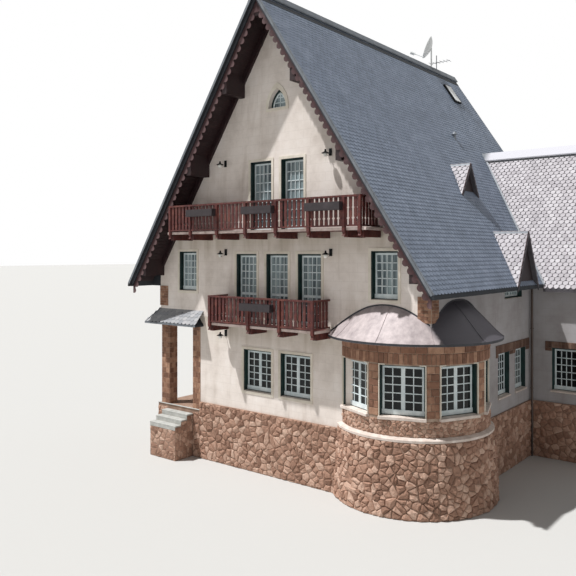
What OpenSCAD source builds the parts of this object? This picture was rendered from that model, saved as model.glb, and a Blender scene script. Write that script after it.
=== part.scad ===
// Alpine chalet with a steep slate roof, a round corner bay, two timber balconies,
// an open corner porch and a lower wing. Millimetres, +Z up.
// Origin: bottom of the front plinth on the gable axis, in the plane of the front wall.
// +X runs along the front, +Y into the house.

/* [House] */
// Half the width of the house over its stucco walls
half_width = 6000; // [5600:50:6400]
// Depth of the house over its gable walls
house_depth = 13400; // [12800:100:14400]
// Thickness of the masonry walls
wall_t = 400; // [350:10:450]
// Top of the rubble plinth
plinth_z = 2140; // [2000:20:2300]
// How far the plinth stands out from the walls
plinth_out = 60; // [40:5:90]

/* [Floor levels] */
// Top of the ground floor
ground_floor_z = 1820; // [1750:10:1900]
// Top of the first floor
first_floor_z = 5310; // [5200:10:5400]
// Top of the second floor
second_floor_z = 8590; // [8500:10:8700]
// Top of the attic floor
attic_floor_z = 11900; // [11600:50:12100]
// Thickness of the floors
floor_t = 250; // [200:10:260]

/* [Main roof] */
// Height of the ridge
ridge_z = 16690; // [16500:10:16900]
// Height of the eaves, at the lower edge of the slates
eave_z = 6610; // [6450:10:6700]
// Distance of the eaves from the gable axis
eave_x = 6650; // [6600:10:6800]
// Upright thickness of the roof slope, slates to boarding
slab_z = 315; // [280:5:400]
// Overhang of the roof past the front gable
verge = 1140; // [1000:10:1200]
// Overhang of the roof past the rear gable
rear_verge = 900; // [850:10:1100]
// Depth of the boxed eave
fascia_h = 100; // [80:5:140]
// Upright thickness of the upper layer, which steps out at the verges
verge_layer = 150; // [120:5:180]
// How far the upper layer steps out past the lower one
verge_step = 100; // [60:5:120]

/* [Wing] */
// Front wall of the wing, from the front of the house
wing_front_y = 8280; // [8200:20:8400]
// End wall of the wing, from the gable axis
wing_end_x = 11600; // [11000:100:12400]
// Ridge of the wing
wing_ridge_z = 12100; // [11900:50:12300]
// Eaves of the wing
wing_eave_z = 6465; // [6400:5:6500]
// Overhang of the wing's eaves
wing_eave_out = 430; // [350:10:500]

/* [Balconies] */
// Half the length of the upper balcony
upper_half = 4380; // [4340:10:4400]
// Depth of the upper balcony
upper_depth = 1040; // [960:10:1040]
// Half the length of the lower balcony
lower_half = 2370; // [2300:10:2450]
// Depth of the lower balcony
lower_depth = 860; // [780:10:900]
// Height of the handrail over the balcony floor
rail_h = 990; // [920:10:1000]
// Distance between the cut-out slats
slat_pitch = 180; // [165:5:220]

/* [Round bay] */
// Axis of the bay, across the house
bay_x = 4450; // [4400:10:4500]
// Axis of the bay, into the house
bay_y = 1780; // [1740:10:1820]
// Outer radius of the brick wall
bay_r = 2400; // [2380:5:2440]
// Outer radius of the rubble base at its foot
bay_foot_r = 2650; // [2600:10:2720]
// Radius of the bay roof at its eave
bay_eave_r = 2840; // [2780:10:2900]
// Height of the bay roof's eave
bay_eave_z = 5175; // [5140:5:5200]

/* [Hidden] */
$fn = 96;

// Play between neighbouring solids of one node
gap = 2;
// Slopes, as height over run
roof_slope = (ridge_z - eave_z) / eave_x;
roof_angle = atan(roof_slope);
wing_ridge_y = (wing_front_y + house_depth) / 2;
wing_half = (house_depth - wing_front_y) / 2;
wing_slope = (wing_ridge_z - wing_eave_z) / (wing_half + wing_eave_out);
wing_angle = atan(wing_slope);
wing_verge = 500;
wing_floor_x = wing_end_x - wall_t;
// Undersides of the roofs over a point at a distance from the ridge
function under(x) = ridge_z - slab_z - roof_slope * abs(x);
function wing_under(y) = wing_ridge_z - slab_z - wing_slope * abs(y - wing_ridge_y);
// Distance from the gable axis at which the underside has a height
function under_x(z) = (ridge_z - slab_z - z) / roof_slope;

// Doors and windows, as [centre, sill, width, height]
casement_w = 1300;
casement_h = 1500;
ground_sill = 2850;
french_w = 980;
french_h = 2480;
small_w = 960;
small_h = 1520;
small_sill = 6360;
ground_front = [for (x = [-820, 900]) [x, ground_sill, casement_w, casement_h]];
first_front = concat(
    [for (x = [-1340, 90, 1500]) [x, first_floor_z, french_w, french_h]],
    [for (x = [-4400, 4400]) [x, small_sill, small_w, small_h]]);
second_front = [for (x = [-650, 770]) [x, second_floor_z, french_w, french_h]];
ground_rear = [for (x = [-4400, -1500, 1500, 4400, 7700, 9900]) [x, ground_sill, casement_w, casement_h]];
first_rear = [for (x = [-4400, -1450, 1450, 4400]) [x, small_sill, small_w, small_h]];
second_rear = [for (x = [-710, 710]) [x, second_floor_z + 900, small_w, small_h]];
ground_left = [for (y = [5000, 8200, 11400]) [y, ground_sill, casement_w, casement_h]];
side_w = 1080;
side_h = 1560;
side_windows = [for (y = [5600, 7235]) [y, 2700, side_w, side_h]];
loft_window = [6550, 6155, 1720, 340];
wing_windows = [for (x = [7325, 9900]) [x, 2600, 980, 1620]];
wing_end_windows = [for (y = [9700, 11980]) [y, 2700, casement_w, casement_h]];
// Pointed attic window: centre, foot of the opening and its width
point_x = 100;
point_z = 12890;
point_w = 780;
wing_point_z = 7600;
// Windows of the bay, as angles round its axis from straight ahead
bay_angles = [-23, 20, 64, 108];
bay_win_w = 1370;
bay_sill_z = 2930;
bay_win_h = 1550;
bay_head_z = bay_sill_z + bay_win_h;
bay_wall_top = 5100;
// Profile of the bay roof: distance from the axis, and height over the eave
bell = [
    [1400, 1200], [1500, 1175], [1600, 1135], [1700, 1075], [1800, 1000], [1900, 915],
    [2560, 237], [2660, 140], [2750, 65], [bay_eave_r, 0]
];
// Distance from the axis within which that roof is a shell
bell_shell_r = 2250;
bay_string_z = 2240;
bay_string_h = 130;
// Where the front wall and the side wall stop inside the bay
bay_open_x = bay_x - 900;
bay_open_y = bay_y + 1270;

// Window joinery
recess = 150;
frame_w = 60;
frame_d = 70;
sash_w = 60;
sash_d = 45;
glass_t = 6;
surround_w = 95;
surround_d = 20;

// Dormers, as [axis, ridge, half width, fall of each slope, its upright thickness, front]
dormers = [[6230, 8590, 1020, 1970, 170, 6690], [6280, 11220, 740, 1240, 120, 4470]];

// Porch
porch_right = -3710;
porch_back = 2800;
pier_w = 460;
pier_x = -5920;
door_w = 1050;
door_h = 2150;
door_x = -4830;
step_rise = 170;
step_run = 300;

// Balcony joinery
post_w = 100;
post_t = 100;
rail_t = 60;
slat_w = 110;
slat_t = 30;
deck_t = 80;
joist_h = 210;
joist_w = 150;
upper_posts = [-4200, -3120, -1770, -420, 930, 2280, 3630, 4200];
lower_posts = [-2300, -450, 930, 2300];

// Bargeboards
board_t = 25;
board_h = 125;
scallop = 284;
// How far the boards hang back from the ends of the slopes, stop short of the eaves and reach below them
board_setback = 150;
board_stop = 150;
board_drop = 530;

// Solid whose outline is drawn in X and Z, from one Y to another
module along_y(y0, y1) {
    translate([0, y1, 0])
        rotate([90, 0, 0])
            linear_extrude(y1 - y0)
                children();
}

// Solid whose outline is drawn in Y and Z, from one X to another
module along_x(x0, x1) {
    translate([x0, 0, 0])
        rotate([90, 0, 90])
            linear_extrude(x1 - x0)
                children();
}

module box(low, high) {
    translate(low)
        cube(high - low);
}

// Outlines of a row of rectangular openings
module holes(windows) {
    for (w = windows)
        translate([w[0] - w[2] / 2, w[1]])
            square([w[2], w[3]]);
}

// Pointed arch with its foot on the axis
module pointed(width) {
    intersection() {
        translate([-width / 2, 0])
            circle(width);
        translate([width / 2, 0])
            circle(width);
        translate([-width, 0])
            square([2 * width, width]);
    }
}

// Area under the main roof slopes, between two heights and inside a half width
module gable_area(z0, z1, half) {
    intersection() {
        translate([-half, z0])
            square([2 * half, z1 - z0]);
        polygon([[-under_x(z0), z0], [under_x(z0), z0], [0, under(0)]]);
    }
}

// Space filled by the main roof and everything under it
module main_roof_body() {
    along_y(-verge, house_depth + rear_verge)
        polygon([[-eave_x, 0], [eave_x, 0], [eave_x, eave_z], [0, ridge_z], [-eave_x, eave_z]]);
}

// Block inside the outer faces of the house walls, grown by a margin
module house_corner(margin, z0, z1) {
    box([0, -margin, z0], [half_width + margin, house_depth, z1]);
}

module rubble_plinth() {
    out = plinth_out;
    inner = half_width - wall_t;
    rear = house_depth - wall_t;
    color("rosybrown") {
        box([porch_right + gap, -out, 0], [bay_open_x, wall_t, plinth_z]);
        box([-half_width - out, porch_back + gap, 0], [-inner, rear - gap, plinth_z]);
        box([-half_width - out, rear, 0], [wing_end_x + out, house_depth + out, plinth_z]);
        box([inner, bay_open_y, 0], [half_width + out, wing_front_y - out - gap, plinth_z]);
        box([inner, wing_front_y - out, 0], [wing_floor_x - gap, wing_front_y + wall_t, plinth_z]);
        box([wing_floor_x, wing_front_y - out, 0], [wing_end_x + out, rear - gap, plinth_z]);
    }
}

module front_wall_ground() {
    color("linen")
        along_y(0, wall_t)
            difference() {
                translate([porch_right, plinth_z])
                    square([bay_open_x - porch_right, first_floor_z - floor_t - plinth_z]);
                holes(ground_front);
            }
}

module front_wall_first() {
    color("linen")
        along_y(0, wall_t)
            difference() {
                gable_area(first_floor_z - floor_t, second_floor_z - floor_t, half_width);
                holes(first_front);
            }
}

module gable_wall(y0, windows) {
    along_y(y0, y0 + wall_t)
        difference() {
            gable_area(second_floor_z - floor_t, under(0), half_width);
            holes(windows);
            translate([point_x, point_z])
                pointed(point_w);
        }
}

module front_gable() {
    color("linen")
        gable_wall(0, second_front);
}

module rear_wall_lower() {
    color("linen")
        along_y(house_depth - wall_t, house_depth)
            difference() {
                union() {
                    translate([-half_width, plinth_z])
                        square([2 * half_width, first_floor_z - plinth_z]);
                    gable_area(first_floor_z - 10, second_floor_z - floor_t, half_width);
                    translate([half_width - 10, plinth_z])
                        square([wing_end_x - half_width + 10, wing_under(house_depth) - plinth_z]);
                }
                holes(ground_rear);
                holes(first_rear);
            }
}

module rear_gable() {
    color("linen")
        gable_wall(house_depth - wall_t, second_rear);
}

// Top of a side wall follows the underside of the slope
module side_wall_top(x0, x1) {
    intersection() {
        children();
        along_y(wall_t, house_depth - wall_t)
            polygon([[x0, 0], [x1, 0], [x1, under(x1)], [x0, under(x0)]]);
    }
}

module left_wall() {
    top = under(half_width - wall_t);
    color("linen")
        side_wall_top(-half_width, -half_width + wall_t)
            along_x(-half_width, -half_width + wall_t)
                difference() {
                    union() {
                        translate([wall_t, first_floor_z - floor_t])
                            square([house_depth - 2 * wall_t, top - first_floor_z + floor_t]);
                        translate([porch_back, plinth_z])
                            square([house_depth - wall_t - porch_back, top - plinth_z]);
                    }
                    holes(ground_left);
                }
}

module right_wall() {
    top = under(half_width - wall_t);
    color("linen")
        side_wall_top(half_width - wall_t, half_width)
            along_x(half_width - wall_t, half_width)
                difference() {
                    union() {
                        translate([wall_t, first_floor_z - floor_t])
                            square([wing_front_y - wall_t, top - first_floor_z + floor_t]);
                        translate([bay_open_y, plinth_z])
                            square([wing_front_y - bay_open_y, top - plinth_z]);
                    }
                    holes(side_windows);
                    holes([loft_window]);
                }
}

module wing_front_wall() {
    color("linen")
        intersection() {
            along_y(wing_front_y, wing_front_y + wall_t)
                difference() {
                    translate([half_width - wall_t, plinth_z])
                        square([wing_end_x - half_width + wall_t, wing_ridge_z]);
                    holes(wing_windows);
                }
            along_x(half_width - wall_t, wing_end_x)
                wing_area();
            difference() {
                box([0, 0, 0], [wing_end_x, house_depth, wing_ridge_z]);
                box([0, 0, under(half_width)], [half_width, house_depth, wing_ridge_z]);
            }
        }
}

// Area under the wing's slopes
module wing_area() {
    y0 = wing_front_y;
    y1 = house_depth;
    top = wing_under(wing_ridge_y);
    polygon([[y0, 0], [y1, 0], [y1, wing_under(y1)], [wing_ridge_y, top], [y0, wing_under(y0)]]);
}

module wing_end_wall() {
    color("linen")
        along_x(wing_end_x - wall_t, wing_end_x)
            difference() {
                intersection() {
                    wing_area();
                    translate([wing_front_y + wall_t, plinth_z])
                        square([2 * wing_half - 2 * wall_t, wing_ridge_z]);
                }
                holes(wing_end_windows);
                translate([wing_ridge_y, wing_point_z])
                    pointed(point_w);
            }
}

module ground_floor() {
    t = 200;
    z0 = ground_floor_z - t;
    inner = half_width - wall_t;
    rear = house_depth - wall_t;
    color("tan")
        difference() {
            union() {
                box([-inner, wall_t, z0], [inner, rear, z0 + t]);
                box([inner - 10, wing_front_y + wall_t, z0], [wing_floor_x, rear, z0 + t]);
                intersection() {
                    translate([bay_x, bay_y, z0])
                        cylinder(h = t, r = bay_r - wall_t);
                    box([0, -bay_r, 0], [2 * bay_x, bay_open_y, z0 + t]);
                }
            }
            box([-half_width, 0, 0], [porch_right, porch_back + wall_t, z0 + t + 1]);
            box([0, -plinth_out, 0], [bay_open_x, wall_t, z0 + t + 1]);
        }
}

module first_floor() {
    z0 = first_floor_z - floor_t;
    inner = half_width - wall_t;
    rear = house_depth - wall_t;
    color("tan") {
        box([-inner, wall_t, z0], [inner, rear, first_floor_z]);
        box([inner - 10, wing_front_y + wall_t, z0], [wing_floor_x, rear, first_floor_z]);
    }
}

module upper_floor(z, t) {
    low = under_x(z - t);
    along_y(wall_t, house_depth - wall_t)
        polygon([[-low, z - t], [low, z - t], [under_x(z), z], [-under_x(z), z]]);
}

module second_floor() {
    color("tan")
        upper_floor(second_floor_z, floor_t);
}

module attic_floor() {
    color("tan")
        upper_floor(attic_floor_z, 200);
}

// Two slopes of an upright thickness over a gable, cut plumb and level at their eaves
module slopes_outline(top, slope, reach, t) {
    eave = top - slope * reach;
    foot = eave - fascia_h;
    inner = (top - t - foot) / slope;
    polygon([
        [0, top], [reach, eave], [reach, foot], [inner, foot],
        [0, top - t], [-inner, foot], [-reach, foot], [-reach, eave]
    ]);
}

// Boxing between the wall and the eave of one slope
module eave_box(top, slope, reach, wall) {
    eave = top - slope * reach;
    polygon([[wall, eave - fascia_h], [reach, eave - fascia_h], [reach, eave], [wall, top - slope * wall]]);
}

// One slope of the main roof on the +X side, boxed in between the gable walls
module main_slope() {
    back = house_depth + rear_verge;
    difference() {
        union() {
            along_y(-verge, back)
                slopes_outline(ridge_z, roof_slope, eave_x, verge_layer);
            along_y(verge_step - verge, back - verge_step)
                slopes_outline(ridge_z, roof_slope, eave_x, slab_z);
            along_y(0, house_depth)
                eave_box(ridge_z, roof_slope, eave_x, half_width);
        }
        box([-eave_x - 1, -verge - 1, 0], [0, back + 1, ridge_z + 1]);
    }
}

module main_roof_left() {
    color("slategray")
        mirror([1, 0, 0])
            main_slope();
}

module main_roof_right() {
    color("slategray")
        difference() {
            main_slope();
            box([half_width, wing_front_y, 0], [eave_x + 1, house_depth, under(half_width)]);
        }
}

module wing_roof() {
    reach = wing_half + wing_eave_out;
    end = wing_end_x + wing_verge;
    color("gainsboro")
        difference() {
            translate([0, wing_ridge_y, 0]) {
                along_x(1000, end)
                    slopes_outline(wing_ridge_z, wing_slope, reach, verge_layer);
                along_x(1000, end - verge_step)
                    slopes_outline(wing_ridge_z, wing_slope, reach, slab_z);
                along_x(1000, wing_end_x) {
                    eave_box(wing_ridge_z, wing_slope, reach, wing_half);
                    mirror([1, 0])
                        eave_box(wing_ridge_z, wing_slope, reach, wing_half);
                }
            }
            main_roof_body();
        }
}

// Bent cap on a ridge batten: half width, height over the slates and slope
module cap_outline(half, t, slope) {
    plate = 50;
    core = half - 60;
    fall = slope * half;
    core_fall = slope * core;
    polygon([
        [0, t], [half, t - fall], [half, t - fall - plate], [core, t - core_fall - plate], [core, -core_fall],
        [0, 0], [-core, -core_fall], [-core, t - core_fall - plate], [-half, t - fall - plate], [-half, t - fall]
    ]);
}

module ridge_caps() {
    color("lightslategray") {
        along_y(-verge - 10, house_depth + rear_verge + 100)
            translate([0, ridge_z])
                cap_outline(160, 150, roof_slope);
        difference() {
            along_x(1000, wing_end_x + wing_verge + 10)
                translate([wing_ridge_y, wing_ridge_z])
                    cap_outline(180, 150, wing_slope);
            main_roof_body();
        }
    }
}

// Scalloped board hanging under a verge: length along the slope
module scalloped_board(length) {
    count = floor(length / scallop);
    first = (length - count * scallop) / 2;
    linear_extrude(board_t)
        union() {
            translate([0, -board_h])
                square([length, board_h]);
            for (i = [0:count - 1])
                translate([first + (i + 0.5) * scallop, -board_h])
                    circle(r = scallop * 0.38, $fn = 32);
        }
}

// Pair of boards under the verges of a gable, cut plumb at the ridge and level at the eave
module gable_boards(angle, reach, top_z, foot_z) {
    length = reach / cos(angle);
    gable_board(angle, length, reach, top_z, foot_z);
    mirror([1, 0, 0])
        gable_board(angle, length, reach, top_z, foot_z);
}

module gable_board(angle, length, reach, top_z, foot_z) {
    intersection() {
        translate([0, 0, top_z - slab_z])
            rotate([90, 0, 0])
                rotate([0, 0, -angle])
                    translate([0, 0, -board_t])
                        scalloped_board(length + 400);
        box([gap / 2, -1, foot_z], [reach, board_t + 1, top_z]);
    }
}

module bargeboards() {
    wing_reach = wing_half + wing_eave_out - board_stop;
    color("saddlebrown") {
        for (y = [-verge + board_setback, house_depth + rear_verge - board_setback - board_t])
            translate([0, y, 0])
                gable_boards(roof_angle, eave_x - board_stop, ridge_z, eave_z - board_drop);
        translate([wing_end_x + wing_verge - board_setback - board_t, wing_ridge_y, 0])
            rotate([0, 0, 90])
                mirror([0, 1, 0])
                    gable_boards(wing_angle, wing_reach, wing_ridge_z, wing_eave_z - board_drop);
    }
}

// Outline of a purlin under the verge with its top cut to the slope
module purlin(x, w, h) {
    x0 = x - w / 2;
    x1 = x + w / 2;
    low = min(under(x0), under(x1)) - h;
    polygon([[x0, low], [x1, low], [x1, under(x1)], [x0, under(x0)]]);
}

// Purlin ends, ridge beam ends and the rafters that lie against the gable walls
module purlins() {
    // Distance from the gable axis and depth below the slope
    spots = [[1530, 460], [3340, 460], [5890, 350]];
    beam = 220;
    rafter_t = 120;
    rafter_h = 320;
    ridge_beam = 240;
    behind = board_setback + board_t;
    foot = under(half_width);
    color("saddlebrown") {
        for (y = [-rafter_t, house_depth])
            along_y(y, y + rafter_t)
                polygon([
                    [0, under(0)], [half_width, foot], [half_width, foot - rafter_h], [0, under(0) - rafter_h],
                    [-half_width, foot - rafter_h], [-half_width, foot]
                ]);
        for (y = [[behind - verge, 0], [house_depth, house_depth + rear_verge - behind]])
            along_y(y[0], y[1]) {
                for (at = spots) {
                    purlin(at[0], beam, at[1]);
                    purlin(-at[0], beam, at[1]);
                }
                polygon([
                    [-ridge_beam / 2, under(0) - 520], [ridge_beam / 2, under(0) - 520],
                    [ridge_beam / 2, under(ridge_beam / 2)], [0, under(0)],
                    [-ridge_beam / 2, under(ridge_beam / 2)]
                ]);
            }
    }
}

// Balcony floor on cantilevered joists
module balcony_deck(half, depth, top, posts) {
    box([-half, -depth, top - deck_t], [half, 0, top]);
    for (x = posts)
        box([x - joist_w / 2, -depth + 60, top - deck_t - joist_h], [x + joist_w / 2, 0, top - deck_t + 1]);
}

// Slat with waisted edges and a keyhole between neighbours
module slat(height) {
    difference() {
        translate([-slat_w / 2, 0])
            square([slat_w, height]);
        for (side = [-1, 1])
            for (bite = [[0.24, 34], [0.62, 26]])
                translate([side * (slat_w / 2 + 10), height * bite[0]])
                    circle(r = bite[1], $fn = 24);
    }
}

// Row of slats along +X between two places, with its rails
module railing_panel(x0, x1, height) {
    low = 90;
    count = floor((x1 - x0 - 60) / slat_pitch);
    first = (x0 + x1 - (count - 1) * slat_pitch) / 2;
    along_y(-slat_t / 2, slat_t / 2)
        for (i = [0:count - 1])
            translate([first + i * slat_pitch, low - 1])
                slat(height - rail_t - low + 2);
    box([x0, -30, low - 50], [x1, 30, low]);
    box([x0, -45, height - rail_t], [x1, 45, height]);
}

// Post in front of the deck's edge, hooked under the floor
module railing_post(x, height) {
    below = 250;
    translate([x, 0, 0])
        along_x(-post_w / 2, post_w / 2)
            difference() {
                translate([-post_t / 2, -below])
                    square([post_t, height + below - rail_t + 1]);
                translate([-post_t / 2 - 20, -below + 70])
                    circle(r = 60, $fn = 32);
            }
}

module balcony_railing(half, depth, top, posts) {
    y = -depth - post_t / 2;
    translate([0, y, top]) {
        railing_panel(-half, half, rail_h);
        for (x = posts)
            railing_post(x, rail_h);
    }
    for (side = [-1, 1])
        translate([side * (half - 50), 0, top])
            rotate([0, 0, 90])
                railing_panel(-depth + gap + 20, -gap, rail_h);
}

module upper_balcony_deck() {
    color("sienna")
        balcony_deck(upper_half, upper_depth, second_floor_z, upper_posts);
}

module upper_balcony_railing() {
    color("sienna")
        balcony_railing(4250, upper_depth, second_floor_z, upper_posts);
}

module lower_balcony_deck() {
    color("sienna")
        balcony_deck(lower_half, lower_depth, first_floor_z, lower_posts);
}

module lower_balcony_railing() {
    color("sienna")
        balcony_railing(lower_half - 10, lower_depth, first_floor_z, lower_posts);
}

// Open planting box of five boards, hung in front of a railing
module flower_box(x0, x1, y, z) {
    t = 22;
    low = z + t + gap;
    high = z + 250;
    front = y - 200;
    box([x0, front, z], [x1, y, z + t]);
    box([x0, front, low], [x1, front + t, high]);
    box([x0, y - t, low], [x1, y, high]);
    for (x = [x0, x1 - t])
        box([x, front + t + gap, low], [x + t, y - t - gap, high]);
}

module flower_boxes() {
    upper_y = -upper_depth - post_t;
    lower_y = -lower_depth - post_t;
    color("dimgray") {
        for (x = [-3120, -420, 2280])
            flower_box(x + 10, x + 1340, upper_y, second_floor_z + 540);
        flower_box(-650, 720, lower_y, first_floor_z + 540);
    }
}

// Ring round the bay's axis, from a profile drawn as radius and height, outside the house
module bay_ring() {
    difference() {
        translate([bay_x, bay_y, 0])
            rotate_extrude($fn = 360)
                children();
        house_corner(0, -10, 9000);
    }
}

module bay_base() {
    color("rosybrown")
        difference() {
            bay_ring()
                polygon([
                    [bay_r - wall_t, 0], [bay_foot_r, 0],
                    [bay_r + 120, bay_string_z], [bay_r - wall_t, bay_string_z]
                ]);
            house_corner(plinth_out, -10, plinth_z);
        }
}

module bay_string_course() {
    color("antiquewhite")
        bay_ring()
            polygon([
                [bay_r - wall_t, bay_string_z], [bay_r + 150, bay_string_z], [bay_r + 150, bay_string_z + 70],
                [bay_r + 20, bay_string_z + bay_string_h], [bay_r - wall_t, bay_string_z + bay_string_h]
            ]);
}

module bay_sill_wall() {
    color("indianred")
        bay_ring()
            translate([bay_r - wall_t, bay_string_z + bay_string_h])
                square([wall_t, bay_sill_z - bay_string_z - bay_string_h]);
}

// Wall between the sill and the head, cut by the windows into piers
module bay_piers() {
    color("indianred")
        difference() {
            bay_ring()
                translate([bay_r - wall_t, bay_sill_z])
                    square([wall_t, bay_win_h]);
            for (a = bay_angles)
                at_bay(a)
                    box([-bay_win_w / 2, -bay_r - 100, bay_sill_z - 1],
                        [bay_win_w / 2, -bay_r + 800, bay_head_z + 1]);
        }
}

module bay_head_wall() {
    color("indianred")
        bay_ring()
            translate([bay_r - wall_t, bay_head_z])
                square([wall_t, bay_wall_top - bay_head_z]);
}

// Turned to an angle round the bay's axis, with -Y outwards
module at_bay(a) {
    translate([bay_x, bay_y, 0])
        rotate([0, 0, a])
            children();
}

// Bell-shaped bay roof, its profile swung round the axis and cut by the two house walls
module bay_roof() {
    shell = 170;
    inside = [for (p = bell) if (p[0] < bell_shell_r) [p[0], p[1] - shell]];
    seat = bay_wall_top - bay_eave_z;
    color("lightgray")
        bay_ring()
            translate([0, bay_eave_z])
                polygon(concat(
                    bell, [[bay_eave_r, seat], [bell_shell_r, seat], [bell_shell_r, 385]],
                    [for (i = [len(inside) - 1:-1:0]) inside[i]]
                ));
}

module porch_floor() {
    color("rosybrown")
        box([-half_width - plinth_out, -plinth_out, 0], [porch_right, porch_back, ground_floor_z]);
}

module porch_steps() {
    color("gainsboro")
        for (i = [1:3])
            box([-5500, -plinth_out - i * step_run + gap, 0],
                [-4080, -plinth_out - (i - 1) * step_run - gap, ground_floor_z - i * step_rise]);
}

module porch_piers() {
    top = first_floor_z - floor_t;
    color("indianred") {
        box([pier_x, 0, ground_floor_z], [pier_x + pier_w, wall_t, top]);
        box([porch_right - 420, 0, ground_floor_z], [porch_right, wall_t, top]);
        box([-half_width, porch_back - 420, ground_floor_z], [-half_width + wall_t, porch_back, top]);
    }
}

module porch_walls() {
    top = first_floor_z - floor_t;
    color("linen") {
        box([porch_right - wall_t, wall_t, ground_floor_z], [porch_right, porch_back - gap, top]);
        difference() {
            box([-half_width + wall_t, porch_back, 0], [porch_right, porch_back + wall_t, top]);
            box([door_x - door_w / 2, porch_back - 1, ground_floor_z],
                [door_x + door_w / 2, porch_back + wall_t + 1, ground_floor_z + door_h]);
        }
    }
}

// Hipped lean-to roof round the porch corner, an outline of its plan raised to the wall
module porch_roof() {
    low = 5080;
    rise = 520;
    out = 450;
    right = -3550;
    back = porch_back + 100;
    color("slategray")
        difference() {
            intersection() {
                along_y(-out, back + out)
                    polygon([
                        [-half_width - out, low], [-half_width, low + rise], [right - out, low + rise],
                        [right, low], [right, low - 60], [-half_width - out, low - 60]
                    ]);
                along_x(-half_width - out, right)
                    polygon([
                        [-out, low], [0, low + rise], [back - out, low + rise],
                        [back, low], [back, low - 60], [-out, low - 60]
                    ]);
            }
            box([-half_width, 0, low - 100], [half_width, house_depth, low + rise + 100]);
        }
}

module entrance_door() {
    leaf_y = porch_back + 120;
    color("saddlebrown")
        difference() {
            box([door_x - door_w / 2, leaf_y, ground_floor_z],
                [door_x + door_w / 2, leaf_y + 60, ground_floor_z + door_h]);
            for (side = [-1, 1])
                for (z = [250, 1150])
                    box([door_x + side * 240 - 170, leaf_y - 1, ground_floor_z + z],
                        [door_x + side * 240 + 170, leaf_y + 15, ground_floor_z + z + 750]);
        }
}

// Dormer of two small slopes standing on the main roof, or the gable board under them
module dormer_part(d, x0, x1, t) {
    y = d[0];
    half = d[2];
    top = d[1] - (t > 0 ? 0 : d[4]);
    low = top - d[3];
    difference() {
        along_x(x0, x1)
            translate([y, 0])
                if (t > 0)
                    polygon([
                        [0, top], [half, low], [half, low - t], [0, top - t], [-half, low - t], [-half, low]
                    ]);
                else
                    polygon([[0, top], [half, low], [-half, low]]);
        main_roof_body();
    }
}

module dormer_roofs() {
    color("gainsboro")
        for (d = dormers)
            dormer_part(d, 0, d[5], d[4]);
}

module dormer_gables() {
    board = 60;
    setback = 150;
    color("maroon")
        for (d = dormers)
            dormer_part(d, d[5] - setback - board, d[5] - setback, 0);
}

// Ring between a rectangle and the same rectangle less a border
module border(w, h, edge) {
    difference() {
        translate([-w / 2, 0])
            square([w, h]);
        translate([-w / 2 + edge, edge])
            square([w - 2 * edge, h - 2 * edge]);
    }
}

// Flat surround round an opening, standing out from the wall
module surround(w, h, sill) {
    along_y(-surround_d, 0)
        difference() {
            translate([-w / 2 - surround_w, sill ? -surround_w : 0])
                square([w + 2 * surround_w, h + surround_w + (sill ? surround_w : 0)]);
            translate([-w / 2, sill ? 0 : -1])
                square([w, h + (sill ? 0 : 1)]);
        }
}

module frame(w, h) {
    along_y(recess, recess + frame_d)
        border(w, h, frame_w);
}

// Pair of casements inside the frame
module sashes(w, h, leaves) {
    inner_w = w - 2 * frame_w;
    leaf = inner_w / leaves;
    along_y(recess + 12, recess + 12 + sash_d)
        for (i = [0:leaves - 1])
            translate([-inner_w / 2 + (i + 0.5) * leaf, frame_w])
                border(leaf - (leaves > 1 ? gap : 0), h - 2 * frame_w, sash_w);
}

module panes(w, h, leaves) {
    inner_w = w - 2 * frame_w;
    leaf = inner_w / leaves;
    along_y(recess + 30, recess + 30 + glass_t)
        for (i = [0:leaves - 1])
            translate([-inner_w / 2 + (i + 0.5) * leaf, frame_w + sash_w])
                translate([-leaf / 2 + sash_w, 0])
                    square([leaf - 2 * sash_w, h - 2 * frame_w - 2 * sash_w]);
}

// Pointed attic window pieces
module pointed_ring(y0, y1, outer, inner, foot) {
    along_y(y0, y1)
        difference() {
            translate([0, -foot])
                pointed_on_foot(outer, foot);
            pointed(inner);
        }
}

module pointed_on_foot(width, foot) {
    translate([0, foot])
        pointed(width);
    translate([-width / 2, 0])
        square([width, foot + 1]);
}

module each_window() {
    for (w = concat(ground_front, first_front, second_front))
        translate([w[0], 0, w[1]])
            window_piece($part, w[2], w[3], w[2] > 1100 ? 2 : 1, w[3] < 2000);
    for (w = concat(ground_rear, first_rear, second_rear))
        translate([w[0], house_depth, w[1]])
            mirror([0, 1, 0])
                window_piece($part, w[2], w[3], w[2] > 1100 ? 2 : 1, true);
    for (w = ground_left)
        translate([-half_width, w[0], w[1]])
            rotate([0, 0, -90])
                window_piece($part, w[2], w[3], 2, true);
    for (w = concat(side_windows, [loft_window]))
        translate([half_width, w[0], w[1]])
            rotate([0, 0, 90])
                window_piece($part == "surround" ? "none" : $part, w[2], w[3], w[2] > 1100 ? 2 : 1, true);
    for (w = wing_windows)
        translate([w[0], wing_front_y, w[1]])
            window_piece($part == "surround" ? "none" : $part, w[2], w[3], 1, true);
    for (w = wing_end_windows)
        translate([wing_end_x, w[0], w[1]])
            rotate([0, 0, 90])
                window_piece($part, w[2], w[3], 2, true);
    for (a = bay_angles)
        at_bay(a)
            translate([0, -bay_r + 105, bay_sill_z])
                window_piece($part == "surround" ? "none" : $part, bay_win_w, bay_win_h, 2, true);
    for (at = [
        [point_x, 0, point_z, 0], [point_x, house_depth, point_z, 180],
        [wing_end_x, wing_ridge_y, wing_point_z, 90]
    ])
        translate([at[0], at[1], at[2]])
            rotate([0, 0, at[3]])
                pointed_piece($part);
}

module window_piece(part, w, h, leaves, sill) {
    if (part == "surround") surround(w, h, sill);
    if (part == "frame") frame(w, h);
    if (part == "sash") sashes(w, h, leaves);
    if (part == "glass") panes(w, h, leaves);
}

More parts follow.
